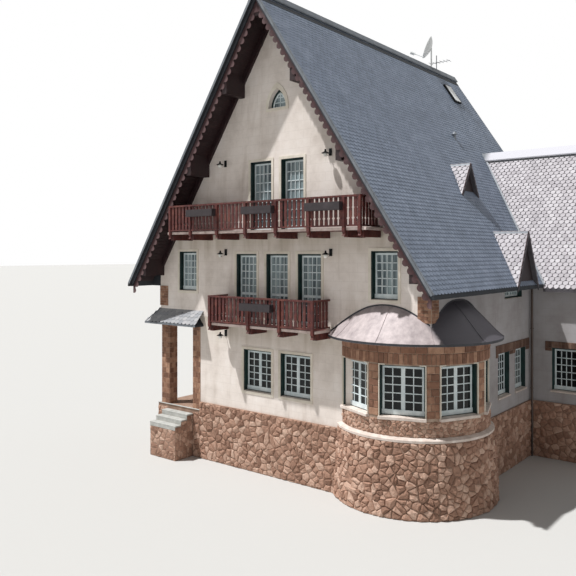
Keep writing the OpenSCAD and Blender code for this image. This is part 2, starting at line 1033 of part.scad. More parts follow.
module pointed_piece(part) {
    if (part == "surround") pointed_ring(-surround_d, 0, point_w + 240, point_w, 100);
    if (part == "frame") pointed_ring(recess, recess + frame_d, point_w, point_w - 120, 0);
    if (part == "glass")
        along_y(recess + 30, recess + 30 + glass_t)
            pointed(point_w - 120);
}

module window_surrounds() {
    color("antiquewhite")
        each_window($part = "surround");
}

module window_frames() {
    color("darkslategray")
        each_window($part = "frame");
}

module window_sashes() {
    color("aliceblue")
        each_window($part = "sash");
}

module window_glass() {
    color("lightsteelblue")
        each_window($part = "glass");
}

// Brick facings round the side windows and the wing's, and quoins at the front corners
// Brick lintel over a window with its ends hanging a little lower; height and reach to either side
module lintel_outline(w, high, left, right) {
    drop = 130;
    head = w[1] + w[3];
    difference() {
        translate([w[0] - w[2] / 2 - left, head - drop])
            square([w[2] + left + right, high + drop]);
        holes([w]);
    }
}

module brick_dressings() {
    t = 20;
    quoin_top = eave_z - fascia_h;
    quoin_foot = first_floor_z + 420;
    color("indianred") {
        quoin(quoin_foot, quoin_top);
        mirror([1, 0, 0])
            quoin(quoin_foot, quoin_top);
        along_x(half_width, half_width + t)
            for (w = side_windows)
                lintel_outline(w, 300, 200, 360);
        for (w = wing_windows)
            along_y(wing_front_y - t, wing_front_y)
                lintel_outline(w, 240, 250, 250);
    }
}

// Brick quoin at a front corner, under the eave
module quoin(low, high) {
    t = 20;
    reach = 450;
    difference() {
        box([half_width - reach, -t, low], [half_width + t, reach, high]);
        box([0, 0, low - 1], [half_width, reach + 1, high + 1]);
    }
}

// Lamp of a plate, an arm, a cone shade and a globe
module wall_lamp(x, z) {
    translate([x, 0, z]) {
        box([-60, -25, -110], [60, 0, 110]);
        translate([0, -300, 0])
            rotate([-90, 0, 0])
                cylinder(h = 290, r = 14, $fn = 24);
        translate([0, -300, -60])
            cylinder(h = 90, r1 = 130, r2 = 35, $fn = 48);
        translate([0, -300, -95])
            sphere(r = 75, $fn = 32);
    }
}

module wall_lamps() {
    color("black")
        for (at = [[-2385, 11130], [2370, 11130], [-2370, 7850], [2380, 7840], [-2370, 4860]])
            wall_lamp(at[0], at[1]);
}

// Places its children on the right main slope, with local Z off the slates
module on_slope(x, y) {
    translate([x, y, ridge_z - roof_slope * x])
        rotate([0, roof_angle, 0])
            children();
}

module skylight() {
    color("whitesmoke")
        on_slope(840, 12240)
            difference() {
                translate([-530, -330, 0])
                    cube([1060, 660, 110]);
                translate([-460, -260, 80])
                    cube([920, 520, 40]);
            }
}

module roof_vent() {
    vent_x = 2660;
    color("dimgray")
        translate([vent_x, 8690, ridge_z - roof_slope * vent_x]) {
            translate([0, 0, -80])
                cylinder(h = 280, r = 60, $fn = 48);
            translate([0, 0, 200])
                cylinder(h = 110, r1 = 110, r2 = 40, $fn = 48);
        }
}

module satellite_dish() {
    mast = 950;
    bowl = 800;
    color("whitesmoke")
        translate([0, 11800, ridge_z + 100]) {
            cylinder(h = mast, r = 35, $fn = 32);
            translate([0, 0, mast - 40])
                rotate([0, 0, -63])
                    rotate([68, 0, 0]) {
                        rotate_extrude($fn = 96)
                            intersection() {
                                difference() {
                                    translate([0, bowl])
                                        circle(r = bowl, $fn = 180);
                                    translate([0, bowl + 25])
                                        circle(r = bowl, $fn = 180);
                                }
                                square([540, 300]);
                            }
                        translate([0, -490, 120]) {
                            cylinder(h = 600, r = 22, $fn = 32);
                            translate([0, 0, 540])
                                cylinder(h = 210, r = 75, $fn = 48);
                        }
                    }
        }
}

module aerial() {
    boom_z = 350;
    color("silver")
        translate([0, 12350, ridge_z + 100]) {
            cylinder(h = 700, r = 22, $fn = 32);
            translate([-350, 0, boom_z])
                rotate([0, 90, 0])
                    cylinder(h = 1050, r = 14, $fn = 32);
            for (x = [-300:190:650])
                translate([x, -230, boom_z])
                    rotate([-90, 0, 0])
                        cylinder(h = 460, r = 9, $fn = 24);
        }
}

module downpipe() {
    x = half_width + plinth_out + 65;
    y = wing_front_y - plinth_out - 75;
    color("saddlebrown") {
        translate([x, y, 0])
            cylinder(h = eave_z - fascia_h, r = 45, $fn = 48);
        for (z = [2600, 4900])
            translate([x, y, z])
                cylinder(h = 40, r = 60, $fn = 48);
    }
}

rubble_plinth();
front_wall_ground();
front_wall_first();
front_gable();
rear_wall_lower();
rear_gable();
left_wall();
right_wall();
wing_front_wall();
wing_end_wall();
ground_floor();
first_floor();
second_floor();
attic_floor();
main_roof_left();
main_roof_right();
wing_roof();
ridge_caps();
bargeboards();
purlins();
upper_balcony_deck();
upper_balcony_railing();
lower_balcony_deck();
lower_balcony_railing();
flower_boxes();
bay_base();
bay_string_course();
bay_sill_wall();
bay_piers();
bay_head_wall();
bay_roof();
porch_floor();
porch_steps();
porch_piers();
porch_walls();
porch_roof();
entrance_door();
dormer_roofs();
dormer_gables();
window_surrounds();
window_frames();
window_sashes();
window_glass();
brick_dressings();
wall_lamps();
skylight();
roof_vent();
satellite_dish();
aerial();
downpipe();
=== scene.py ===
"""Looks of the alpine chalet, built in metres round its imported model."""

import math
import random

import bmesh
import bpy
import numpy as np
from mathutils import Matrix, Vector
from mathutils.kdtree import KDTree


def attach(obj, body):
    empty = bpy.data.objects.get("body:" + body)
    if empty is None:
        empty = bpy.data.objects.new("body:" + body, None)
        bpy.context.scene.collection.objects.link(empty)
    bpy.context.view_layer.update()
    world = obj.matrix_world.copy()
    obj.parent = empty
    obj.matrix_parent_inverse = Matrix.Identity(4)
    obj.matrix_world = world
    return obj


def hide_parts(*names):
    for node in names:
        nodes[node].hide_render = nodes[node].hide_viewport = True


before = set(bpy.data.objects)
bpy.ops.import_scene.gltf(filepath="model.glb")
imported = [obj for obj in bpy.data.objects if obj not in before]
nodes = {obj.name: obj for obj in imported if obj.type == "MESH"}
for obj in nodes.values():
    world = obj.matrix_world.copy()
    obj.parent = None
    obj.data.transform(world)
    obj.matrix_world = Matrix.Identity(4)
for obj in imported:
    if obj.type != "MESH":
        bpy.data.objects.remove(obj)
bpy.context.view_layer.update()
chance = random.Random(7)

# Values of the source, in metres
HALF_WIDTH, DEPTH, WALL = 6.0, 13.4, 0.4
PLINTH_TOP, PLINTH_OUT = 2.14, 0.06
FIRST_FLOOR, SECOND_FLOOR = 5.31, 8.59
RIDGE, EAVE, EAVE_X, SLAB, LAYER = 16.69, 6.61, 6.65, 0.315, 0.15
VERGE, REAR_VERGE, VERGE_STEP = 1.14, 0.9, 0.1
SLOPE = (RIDGE - EAVE) / EAVE_X
WING_FRONT, WING_END, WING_RIDGE, WING_EAVE = 8.28, 11.6, 12.1, 6.465
WING_OUT, WING_VERGE = 0.43, 0.5
WING_AXIS = (WING_FRONT + DEPTH) / 2
WING_HALF = (DEPTH - WING_FRONT) / 2
WING_SLOPE = (WING_RIDGE - WING_EAVE) / (WING_HALF + WING_OUT)
BAY = Vector((4.45, 1.78, 0))
BAY_R, BAY_FOOT_R, BAY_EAVE_R, BAY_EAVE = 2.4, 2.65, 2.84, 5.175
BAY_ANGLES, BAY_SILL, BAY_WIN_W, BAY_WIN_H = (-23, 20, 64, 108), 2.93, 1.37, 1.55
STRING_FOOT, STRING_TOP, BAY_WALL_TOP = 2.24, 2.37, 5.1
# The bell of the bay's roof: distance from the bay's axis, and height over the eave
BELL = ((1.4, 1.2), (1.5, 1.175), (1.6, 1.135), (1.7, 1.075), (1.8, 1.0), (1.9, 0.915), (2.56, 0.237), (2.66, 0.14),
        (2.75, 0.065), (2.84, 0.0))
SIDE_WINDOWS, WING_WINDOWS = (5.6, 7.235), (7.325, 9.9)
# Place across the front and height of each lamp
LAMPS = ((-2.385, 11.13), (2.37, 11.13), (-2.37, 7.85), (2.38, 7.84), (-2.37, 4.86))
# Axis, ridge height, half width, drop to the eave and front of each dormer
DORMERS = ((6.23, 8.59, 1.02, 1.97, 6.69), (6.28, 11.22, 0.74, 1.24, 4.47))
RECESS, FRAME_W, SASH_W = 0.15, 0.06, 0.06
PORCH_TOP, STEP_LEFT, STEP_RIGHT, STEP_GO, STEP_RISE = 1.82, -5.5, -4.08, 0.3, 0.17
# How far the field stones reach into the mortar behind them
STONE_BED = 0.02


def linear(code):
    """Turns a hex colour as the eye sees it into the linear values a shader takes."""
    parts = [int(code[i:i + 2], 16) / 255 for i in (1, 3, 5)]
    return tuple(c / 12.92 if c <= 0.04045 else ((c + 0.055) / 1.055) ** 2.4 for c in parts) + (1.0,)


def add(tree, kind, values=None, links=None, stops=None, output=None, **settings):
    """Adds one shader node with its settings, values, links and colour stops, and gives the output in use.

    A Mix node of colours takes them at its inputs 6 and 7.
    """
    made = tree.nodes.new("ShaderNode" + kind)
    for name, value in settings.items():
        setattr(made, name, value)
    for socket, value in (values or {}).items():
        made.inputs[socket].default_value = linear(value) if isinstance(value, str) else value
    for socket, source in (links or {}).items():
        tree.links.new(source, made.inputs[socket])
    if stops:
        ramp = made.color_ramp
        while len(ramp.elements) < len(stops):
            ramp.elements.new(1.0)
        for element, (place, colour) in zip(ramp.elements, stops):
            element.position = place
            element.color = linear(colour) if isinstance(colour, str) else (colour, colour, colour, 1.0)
    return made.outputs[output] if output else next(each for each in made.outputs if each.enabled)


def finish_for(name, roughness, metallic=0.0):
    """Starts a material: its tree, its shader and the object's own coordinates in metres."""
    made = bpy.data.materials.new(name)
    made.use_nodes = True
    tree = made.node_tree
    shader = tree.nodes["Principled BSDF"]
    shader.inputs["Roughness"].default_value = roughness
    shader.inputs["Metallic"].default_value = metallic
    return made, tree, shader, add(tree, "TexCoord", output="Object")


def dressed(made, tree, shader, colour, height, strength, depth):
    """Ends a material with its colour and a relief of a real depth in metres."""
    relief = add(tree, "Bump", {"Strength": strength, "Distance": depth}, {"Height": height})
    tree.links.new(colour, shader.inputs["Base Color"])
    tree.links.new(relief, shader.inputs["Normal"])
    return made


def corner_painted_shade(tree, place, colour, start, end):
    """Greys the faces of the inner corner beside the wing between two depths: painted shade of that corner."""
    axes = add(tree, "SeparateXYZ", links={"Vector": place}).node.outputs
    past = add(tree, "Math", {1: HALF_WIDTH - 0.02}, {0: axes["X"]}, operation="GREATER_THAN")
    before = add(tree, "Math", {1: WING_FRONT + 0.02}, {0: axes["Y"]}, operation="LESS_THAN")
    here = add(tree, "Math", links={0: past, 1: before}, operation="MULTIPLY")
    deep = add(tree, "MapRange", {"From Min": start, "From Max": end}, {"Value": axes["Y"]})
    amount = add(tree, "Math", links={0: here, 1: deep}, operation="MULTIPLY")
    return add(tree, "Mix", {7: "#b7bbc3"}, {"Factor": amount, 6: colour}, data_type="RGBA",
               blend_type="MULTIPLY")


def mottled(name, dark, middle, light, size, roughness, relief=0.002, grain=0.02, tone=0.62, darkened=False):
    """Stone, slate, brick or timber: patches of a real size, a tone for each laid piece and a grained relief."""
    made, tree, shader, place = finish_for(name, roughness)
    amount = add(tree, "TexNoise", {"Scale": 1 / size, "Detail": 5.0, "Roughness": 0.6}, {"Vector": place})
    if tone:
        own = add(tree, "Attribute", attribute_name="tone", output="Fac")
        amount = add(tree, "Mix", {"Factor": tone}, {"A": amount, "B": own})
    colour = add(tree, "ValToRGB", links={"Fac": amount}, stops=((0.2, dark), (0.5, middle), (0.8, light)))
    # Painted shade: the pieces in the inner corner beside the wing are greyed
    if darkened:
        colour = corner_painted_shade(tree, place, colour, 3.4, 4.4)
    fine = add(tree, "TexNoise", {"Scale": 1 / grain, "Detail": 4.0, "Roughness": 0.65}, {"Vector": place})
    return dressed(made, tree, shader, colour, fine, 0.7, relief)


def lime_render():
    """Old hand-floated lime render: warm white, clouded by moisture, streaked by rain, olive under the balconies.
    """
    made, tree, shader, place = finish_for("lime_render", 0.9)
    # Clouds 1.25 m across
    clouds = add(tree, "TexNoise", {"Scale": 0.8, "Detail": 7.0, "Roughness": 0.66}, {"Vector": place})
    colour = add(tree, "ValToRGB", links={"Fac": clouds},
                 stops=((0.33, "#d6cbc2"), (0.5, "#e9dfd7"), (0.68, "#f4ece6")))
    # Rain streaks about 0.4 m apart and 3 m long, in patches 2.2 m across rather than everywhere
    tall = add(tree, "Mapping", {"Scale": (2.6, 2.6, 0.3)}, {"Vector": place})
    rain = add(tree, "TexNoise", {"Scale": 1.0, "Detail": 3.0, "Roughness": 0.55, "Distortion": 0.6},
               {"Vector": tall})
    streak = add(tree, "ValToRGB", links={"Fac": rain}, stops=((0.5, 0.0), (0.75, 0.4)))
    patch = add(tree, "TexNoise", {"Scale": 0.45, "Detail": 2.0}, {"Vector": place})
    where = add(tree, "MapRange", {"From Min": 0.42, "From Max": 0.6}, {"Value": patch})
    amount = add(tree, "Math", links={0: streak, 1: where}, operation="MULTIPLY")
    colour = add(tree, "Mix", {7: "#bfb3a6"}, {"Factor": amount, 6: colour}, data_type="RGBA",
                 blend_type="MULTIPLY")
    # Olive darkening in the rain streaks under each balcony of the front, strongest at the boards and gone 1.1 m
    # lower
    axes = add(tree, "SeparateXYZ", links={"Vector": place}).node.outputs
    parts = []
    for top in (SECOND_FLOOR - 0.2, FIRST_FLOOR - 0.1):
        fade = add(tree, "MapRange", {"From Min": top - 1.1, "From Max": top, "To Min": 0.0, "To Max": 0.8},
                   {"Value": axes["Z"]})
        below = add(tree, "Math", {1: top + 0.2}, {0: axes["Z"]}, operation="LESS_THAN")
        parts.append(add(tree, "Math", links={0: fade, 1: below}, operation="MULTIPLY"))
    darkened = add(tree, "Math", links=dict(enumerate(parts)), operation="MAXIMUM")
    front = add(tree, "Math", {1: 0.05}, {0: axes["Y"]}, operation="LESS_THAN")
    for other in (front, rain):
        darkened = add(tree, "Math", links={0: darkened, 1: other}, operation="MULTIPLY")
    colour = add(tree, "Mix", {7: "#a1967a"}, {"Factor": darkened, 6: colour}, data_type="RGBA")
    # Faint joints of the blocks behind the render, 0.62 by 0.3 m
    along = add(tree, "Math", links={0: axes["X"], 1: axes["Y"]}, operation="ADD")
    wall = add(tree, "CombineXYZ", links={"X": along, "Y": axes["Z"]})
    joints = add(tree, "TexBrick",
                 {"Scale": 1.0, "Brick Width": 0.62, "Row Height": 0.3, "Mortar Size": 0.012, "Mortar Smooth": 0.9},
                 {"Vector": wall}, output="Fac")
    faint = add(tree, "Math", {1: 0.16}, {0: joints}, operation="MULTIPLY")
    colour = add(tree, "Mix", {7: "#a39a8e"}, {"Factor": faint, 6: colour}, data_type="RGBA")
    # Painted shade: the walls of the inner corner beside the wing are greyed
    colour = corner_painted_shade(tree, place, colour, -0.1, 0.0)
    # Trowel marks about 30 mm across
    trowel = add(tree, "TexNoise", {"Scale": 33.0, "Detail": 6.0, "Roughness": 0.7}, {"Vector": place})
    return dressed(made, tree, shader, colour, trowel, 0.6, 0.008)


def stained_boards(name, dark, light, worn, wear_from=None):
    """Oiled softwood boards: deep red-brown, silvery pink where rain and sun have worn the lower edges."""
    made, tree, shader, place = finish_for(name, 0.62)
    # Bands of the grain about 110 mm across
    grain = add(tree, "TexNoise", {"Scale": 9.0, "Detail": 6.0, "Roughness": 0.65}, {"Vector": place})
    colour = add(tree, "ValToRGB", links={"Fac": grain}, stops=((0.3, dark), (0.7, light)))
    # Worn patches about 430 mm across
    patches = add(tree, "TexNoise", {"Scale": 2.3, "Detail": 5.0, "Roughness": 0.6}, {"Vector": place})
    amount = add(tree, "ValToRGB", links={"Fac": patches}, stops=((0.52, 0.0), (0.78, 0.4)))
    if wear_from is not None:
        # Height over the underside of the slopes: the wear starts a hand's width below it
        axes = add(tree, "SeparateXYZ", links={"Vector": place}).node.outputs
        across = add(tree, "Math", links={0: axes["X"]}, operation="ABSOLUTE")
        fall = add(tree, "Math", {1: SLOPE}, {0: across}, operation="MULTIPLY")
        level = add(tree, "Math", links={0: axes["Z"], 1: fall}, operation="ADD")
        low = add(tree, "MapRange",
                  {"From Min": wear_from - 0.16, "From Max": wear_from - 0.32, "To Min": 0.0, "To Max": 0.8},
                  {"Value": level})
        # The left boards take the weather
        # The wear is strong on the left boards and faint on the right ones, which stay dark as painted shade of the
        # right verge
        side = add(tree, "MapRange", {"From Min": -0.5, "From Max": 0.5, "To Min": 0.95, "To Max": 0.15},
                   {"Value": axes["X"]})
        low = add(tree, "Math", links={0: low, 1: side}, operation="MULTIPLY")
        amount = add(tree, "Math", links={0: amount, 1: low}, operation="MAXIMUM")
    colour = add(tree, "Mix", {7: worn}, {"Factor": amount, 6: colour}, data_type="RGBA")
    return dressed(made, tree, shader, colour, grain, 0.5, 0.003)


def window_pane():
    """Old window glass: unlit rooms behind the lower windows, pale net curtains in folds behind the upper ones."""
    made, tree, shader, place = finish_for("window_pane", 0.04)
    # Dust and old putty haze dull the reflection
    for socket, value in (("IOR", 1.5), ("Transmission Weight", 0.15), ("Specular IOR Level", 0.2)):
        shader.inputs[socket].default_value = value
    # Folds about 0.12 m apart
    hung = add(tree, "Mapping", {"Scale": (8.0, 8.0, 0.5)}, {"Vector": place})
    folds = add(tree, "TexNoise", {"Scale": 1.0, "Detail": 2.0}, {"Vector": hung})
    net = add(tree, "ValToRGB", links={"Fac": folds}, stops=((0.35, "#4c5c63"), (0.62, "#9fb0b4")))
    # Waves of drawn glass about 0.4 m apart
    waves = add(tree, "TexNoise", {"Scale": 2.5, "Detail": 1.0}, {"Vector": place})
    room = add(tree, "ValToRGB", links={"Fac": waves}, stops=((0.3, "#0d1012"), (0.7, "#1d2326")))
    axes = add(tree, "SeparateXYZ", links={"Vector": place}).node.outputs
    upper = add(tree, "Math", {1: FIRST_FLOOR - 0.1}, {0: axes["Z"]}, operation="GREATER_THAN")
    colour = add(tree, "Mix", links={"Factor": upper, 6: room, 7: net}, data_type="RGBA")
    return dressed(made, tree, shader, colour, waves, 0.15, 0.004)


def weathered_sheet(name, dark, light, roughness, metallic, other=None):
    """Rolled sheet metal left to the weather: dull, cloudy, streaked, and past one line of another colour."""
    made, tree, shader, place = finish_for(name, roughness, metallic)
    # Streaks 0.2 m wide and 1.25 m long
    down = add(tree, "Mapping", {"Scale": (5.0, 5.0, 0.8)}, {"Vector": place})
    clouds = add(tree, "TexNoise", {"Scale": 1.0, "Detail": 6.0, "Roughness": 0.65}, {"Vector": down})
    colour = add(tree, "ValToRGB", links={"Fac": clouds}, stops=((0.3, dark), (0.7, light)))
    if other:
        across, start, end, second = other
        level = add(tree, "VectorMath", {1: across}, {0: place}, operation="DOT_PRODUCT")
        # The clouds carry the line a little to and fro
        level = add(tree, "Math", {1: 0.25}, {0: clouds, 2: level}, operation="MULTIPLY_ADD")
        past = add(tree, "MapRange", {"From Min": start + 0.12, "From Max": end + 0.12}, {"Value": level})
        colour = add(tree, "Mix", {7: second}, {"Factor": past, 6: colour}, data_type="RGBA")
    # Dents about 170 mm across
    dents = add(tree, "TexNoise", {"Scale": 6.0, "Detail": 3.0}, {"Vector": place})
    return dressed(made, tree, shader, colour, dents, 0.3, 0.004)


def painted(name, dark, light, roughness, size=0.3):
    """Brushed paint or washed render: one colour that dirt and sun have made uneven, with brush relief."""
    made, tree, shader, place = finish_for(name, roughness)
    dirt = add(tree, "TexNoise", {"Scale": 1 / size, "Detail": 5.0, "Roughness": 0.6}, {"Vector": place})
    colour = add(tree, "ValToRGB", links={"Fac": dirt}, stops=((0.3, dark), (0.68, light)))
    # Brush marks about 22 mm across
    brush = add(tree, "TexNoise", {"Scale": 45.0, "Detail": 3.0}, {"Vector": place})
    return dressed(made, tree, shader, colour, brush, 0.4, 0.002)


RENDER = lime_render()
# Split slate in courses: dark blue-grey, each slate hardly lighter or darker than its neighbours
SLATE = mottled("split_slate", "#5f6978", "#6f7a8b", "#808b9d", 0.9, 0.6, tone=0.25)
# The same slate bleached by the sun, with a skin of pale lichen
PALE_SLATE = mottled("bleached_slate", "#a29da1", "#b9b4b8", "#cfcbce", 0.5, 0.75, tone=0.3)
# Slate under the drip of the great eave: washed to a blotched mid grey
WASHED_SLATE = mottled("rain_washed_slate", "#7d8086", "#96979a", "#adabac", 0.6, 0.6, tone=0.35)
# Rolled bitumen felt and rough-sawn battens: the dull dark line in every joint of the slates
UNDERLAY = mottled("slating_felt", "#1b1e22", "#23272c", "#2c3137", 0.4, 0.9, tone=0.0)
PALE_UNDERLAY = mottled("shaded_battens", "#3d3a3e", "#4c494d", "#5c595d", 0.4, 0.9, tone=0.0)
# Strips below the ridge caps, almost black and dull: painted shadow of the caps
RIDGE_SHADOW = mottled("painted_cap_shadow", "#17191c", "#202327", "#2b2e33", 0.5, 0.8, tone=0.0)
# Pinkish field stones bedded in lime, weathered rounder, brown and pink beside each other
RUBBLE = mottled("field_stone", "#7f5f4e", "#ab8672", "#ceb09d", 0.11, 0.88, relief=0.03, grain=0.05, tone=0.45)
MORTAR = mottled("lime_mortar", "#7b6252", "#947968", "#ab9282", 0.3, 0.95, relief=0.004, tone=0.0)
# Hard-burnt brown and tan blocks with a wide light joint, both greyed as painted shade in the inner corner beside
# the wing
BLOCK = mottled("burnt_block", "#654535", "#8c6651", "#b58f76", 0.13, 0.85, relief=0.006, tone=0.42, darkened=True)
BLOCK_MORTAR = mottled("block_mortar", "#8d7767", "#a58f7e", "#bda897", 0.2, 0.95, relief=0.003, tone=0.0,
                       darkened=True)
# Sawn limestone: creamy and softly clouded, and worn to a cool grey where feet go
CUT_STONE = mottled("sawn_limestone", "#b5a59a", "#d4c6bc", "#eadfd7", 0.25, 0.8, relief=0.004, tone=0.0)
STEP_STONE = mottled("worn_step_stone", "#959692", "#b3b3ae", "#cbcac5", 0.25, 0.85, relief=0.005, tone=0.0)
# Sawn pine under red-brown stain: silvery pink at the worn edges
# The bargeboards keep darker to the right as painted shade of the right verge
BARGE = stained_boards("stained_bargeboard", "#1f0b0e", "#3d1517", "#94787a", wear_from=RIDGE - SLAB)
# Dark-stained pine made near black as painted shade for the timbers and soffits under the eaves
STAIN_AND_SHADE_PINE = stained_boards("stained_pine_painted_shade", "#150609", "#280c11", "#3b1b1c")
# Pine near black as painted shade of the dormers' recessed gables
DORMER_SHADE_PINE = stained_boards("dark_pine_painted_shade", "#0d0507", "#1d0a0c", "#2c1515")
BALCONY = stained_boards("sunburnt_pine", "#2e1214", "#662b24", "#9a6250")
# Damp pine boxes gone grey-black, an oiled oak door, and floorboards scrubbed to a pale honey
BOX_WOOD = stained_boards("box_pine", "#1f1a1d", "#332a2d", "#5b5054")
DOOR_WOOD = stained_boards("oiled_oak_door", "#3d2216", "#6a4029", "#7d5a41")
FLOOR_WOOD = stained_boards("scrubbed_floorboards", "#6b4f37", "#937350", "#a98b6b")
# Painted board ends that the sun has bleached to a pinkish white
EDGE = mottled("bleached_edge_board", "#a8938c", "#d3c1ba", "#eadcd6", 0.25, 0.75, tone=0.0)
# Oil paint put on by brush: bottle green and cold white, both a little dirty in the corners
GREEN = painted("green_joinery_paint", "#0c1f1e", "#173735", 0.45)
WHITE = painted("white_joinery_paint", "#c3d1d5", "#e8f0f1", 0.4)
# Limewash round the windows: chalky cream
CREAM = painted("cream_limewash", "#cfc6b6", "#ebe3d6", 0.85, size=0.6)
PANE = window_pane()
# Lead gone pale and pinkish in the sun; past a line out from the corner of the house it is painted near black as
# the shadow of the front right verge
BAY_SHEET = weathered_sheet("weathered_lead_painted_shadow", "#958a8b", "#c2b6b5", 0.6, 0.1,
                            other=((0.362, 0.932, 0), 2.04, 2.2, "#4b484e"))
# Rolled zinc gone dull: dark on the main ridge, pale on the wing's, mid grey along the verges
RIDGE_SHEET = weathered_sheet("ridge_zinc", "#484e54", "#686d74", 0.6, 0.15, other=((1, 0, 0), 3.1, 3.4, "#b3b2b8"))
VERGE_SHEET = weathered_sheet("verge_zinc", "#5b6066", "#7e8389", 0.55, 0.2)
# Flashing brushed with tar: charcoal with a faint sheen; the same dark on the verges' stepped-back boards is
# painted shade
DARK_SHEET = weathered_sheet("tarred_flashing_and_painted_shade", "#26272b", "#3b3c42", 0.6, 0.1)
# Forged iron under black paint, an enamelled steel pipe and dish, and bare aluminium tube
IRON = weathered_sheet("black_ironwork", "#0b0c0d", "#1f2021", 0.5, 0.8)
PIPE = weathered_sheet("brown_pipe_enamel", "#3a2f2a", "#5a4c45", 0.45, 0.3)
# The same white on the skylight's glass is a painted reflection of the sky
LIGHT_METAL = weathered_sheet("white_enamel_and_painted_reflection", "#d9dcdc", "#f0f1f0", 0.4, 0.0)
AERIAL = weathered_sheet("aerial_tube", "#717477", "#94979a", 0.4, 0.8)
# Blown opal glass: an even milky white
OPAL = painted("opal_glass", "#e6e6e0", "#f7f6f0", 0.2)

FINISH = {
    RENDER: ["front_wall_ground", "front_wall_first", "front_gable", "rear_wall_lower", "rear_gable", "left_wall",
             "right_wall", "wing_front_wall", "wing_end_wall", "porch_walls"],
    MORTAR: ["rubble_plinth", "bay_base", "porch_floor", "porch_steps"],
    BLOCK_MORTAR: ["bay_sill_wall", "bay_piers", "bay_head_wall", "porch_piers", "brick_dressings"],
    FLOOR_WOOD: ["ground_floor", "first_floor", "second_floor", "attic_floor"],
    UNDERLAY: ["main_roof_left", "main_roof_right", "porch_roof"],
    PALE_UNDERLAY: ["wing_roof", "dormer_roofs"],
    RIDGE_SHEET: ["ridge_caps"],
    BARGE: ["bargeboards"],
    STAIN_AND_SHADE_PINE: ["purlins"],
    DORMER_SHADE_PINE: ["dormer_gables"],
    BALCONY: ["upper_balcony_deck", "upper_balcony_railing", "lower_balcony_deck", "lower_balcony_railing"],
    BOX_WOOD: ["flower_boxes"],
    CUT_STONE: ["bay_string_course"],
    BAY_SHEET: ["bay_roof"],
    DOOR_WOOD: ["entrance_door"],
    CREAM: ["window_surrounds"],
    GREEN: ["window_frames"],
    WHITE: ["window_sashes"],
    PANE: ["window_glass"],
    LIGHT_METAL: ["satellite_dish"],
    IRON: ["skylight"],
    AERIAL: ["aerial"],
    VERGE_SHEET: ["roof_vent"],
    PIPE: ["downpipe"],
}
for finish, names in FINISH.items():
    for name in names:
        for held in nodes[name].material_slots:
            held.material = finish


def piece(name, bm, material, tones=None, stands_for=None):
    """Shows a finished shape under its name, with its material and any tones of its faces."""
    mesh = bpy.data.meshes.new(name)
    bm.to_mesh(mesh)
    bm.free()
    if tones:
        mesh.attributes.new("tone", "FLOAT", "FACE").data.foreach_set("value", tones)
    mesh.materials.append(material)
    made = bpy.data.objects.new(name, mesh)
    bpy.context.scene.collection.objects.link(made)
    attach(made, "root")
    if stands_for:
        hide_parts(stands_for)


def chamfer(bm, geom, offset, affect="EDGES"):
    """Takes the sharpness off edges, or clips corners."""
    bmesh.ops.bevel(bm, geom=geom, offset=offset, offset_type="OFFSET", affect=affect, segments=1, profile=0.5,
                    material=-1)


def beam(bm, start, end, width, depth, face, edge=0.004):
    """Adds a squared timber, strip or bar from start to end, its depth measured along face."""
    start, end = Vector(start), Vector(end)
    along = end - start
    length = along.length
    along.normalize()
    out = Vector(face)
    out = (out - along * out.dot(along)).normalized()
    turn = Matrix((along, out.cross(along), out)).transposed().to_4x4()
    turn.translation = (start + end) / 2
    made = bmesh.ops.create_cube(bm, size=1, matrix=turn @ Matrix.Diagonal((length, width, depth, 1)))
    chamfer(bm, list({link for vert in made["verts"] for link in vert.link_edges}), edge)


def plane_at(origin, down, normal):
    """Axes of a slope: across, down the fall and off the surface."""
    down, normal = Vector(down).normalized(), Vector(normal).normalized()
    made = Matrix((down.cross(normal), down, normal)).transposed().to_4x4()
    made.translation = Vector(origin)
    return made


def template(bm):
    """Keeps a small shape as the mesh to copy and the array of its corners."""
    mesh = bpy.data.meshes.new("template")
    bm.to_mesh(mesh)
    bm.free()
    corners = np.zeros(len(mesh.vertices) * 3)
    mesh.vertices.foreach_get("co", corners)
    return mesh, np.c_[corners.reshape(-1, 3), np.ones(len(mesh.vertices))]


def laid(name, shape, places, material):
    """Joins one copy of a small shape for each place, with a tone of its own that the material reads."""
    bm, tones = bmesh.new(), []
    mesh, corners = shape
    for matrix, tone in places:
        mesh.vertices.foreach_set("co", (corners @ np.array(matrix).T)[:, :3].ravel())
        bm.from_mesh(mesh)
        tones += [tone] * len(mesh.polygons)
    piece(name, bm, material, tones)


def new_corners(made):
    """Corners that an extrusion has just made."""
    return [part for part in made["geom"] if isinstance(part, bmesh.types.BMVert)]


def slate_shape(width, clip, thick, lift):
    """One slate lying on its slope: clipped lower corners, its tail raised on the course below."""
    bm = bmesh.new()
    bmesh.ops.create_grid(bm, x_segments=1, y_segments=1, size=0.5)
    bmesh.ops.scale(bm, vec=(width, SLATE_DROP + SLATE_TUCK, 1), verts=bm.verts)
    bmesh.ops.translate(bm, vec=(0, (SLATE_DROP - SLATE_TUCK) / 2, 0), verts=bm.verts)
    chamfer(bm, [v for v in bm.verts if v.co.y > 0], clip, "VERTICES")
    made = bmesh.ops.extrude_face_region(bm, geom=bm.faces[:], use_keep_orig=True)
    bmesh.ops.translate(bm, vec=(0, 0, thick), verts=new_corners(made))
    tilt = Matrix.Rotation(math.atan(lift / SLATE_DROP), 3, "X")
    bmesh.ops.rotate(bm, cent=(0, -SLATE_TUCK, 0), matrix=tilt, verts=bm.verts)
    bmesh.ops.recalc_face_normals(bm, faces=bm.faces)
    return template(bm)


def block_shape():
    """One fired block with its arrises knocked off."""
    bm = bmesh.new()
    bmesh.ops.create_cube(bm, size=1)
    bmesh.ops.scale(bm, vec=(BLOCK_L, BLOCK_DEEP, BLOCK_H), verts=bm.verts)
    chamfer(bm, bm.edges[:], 0.008)
    return template(bm)


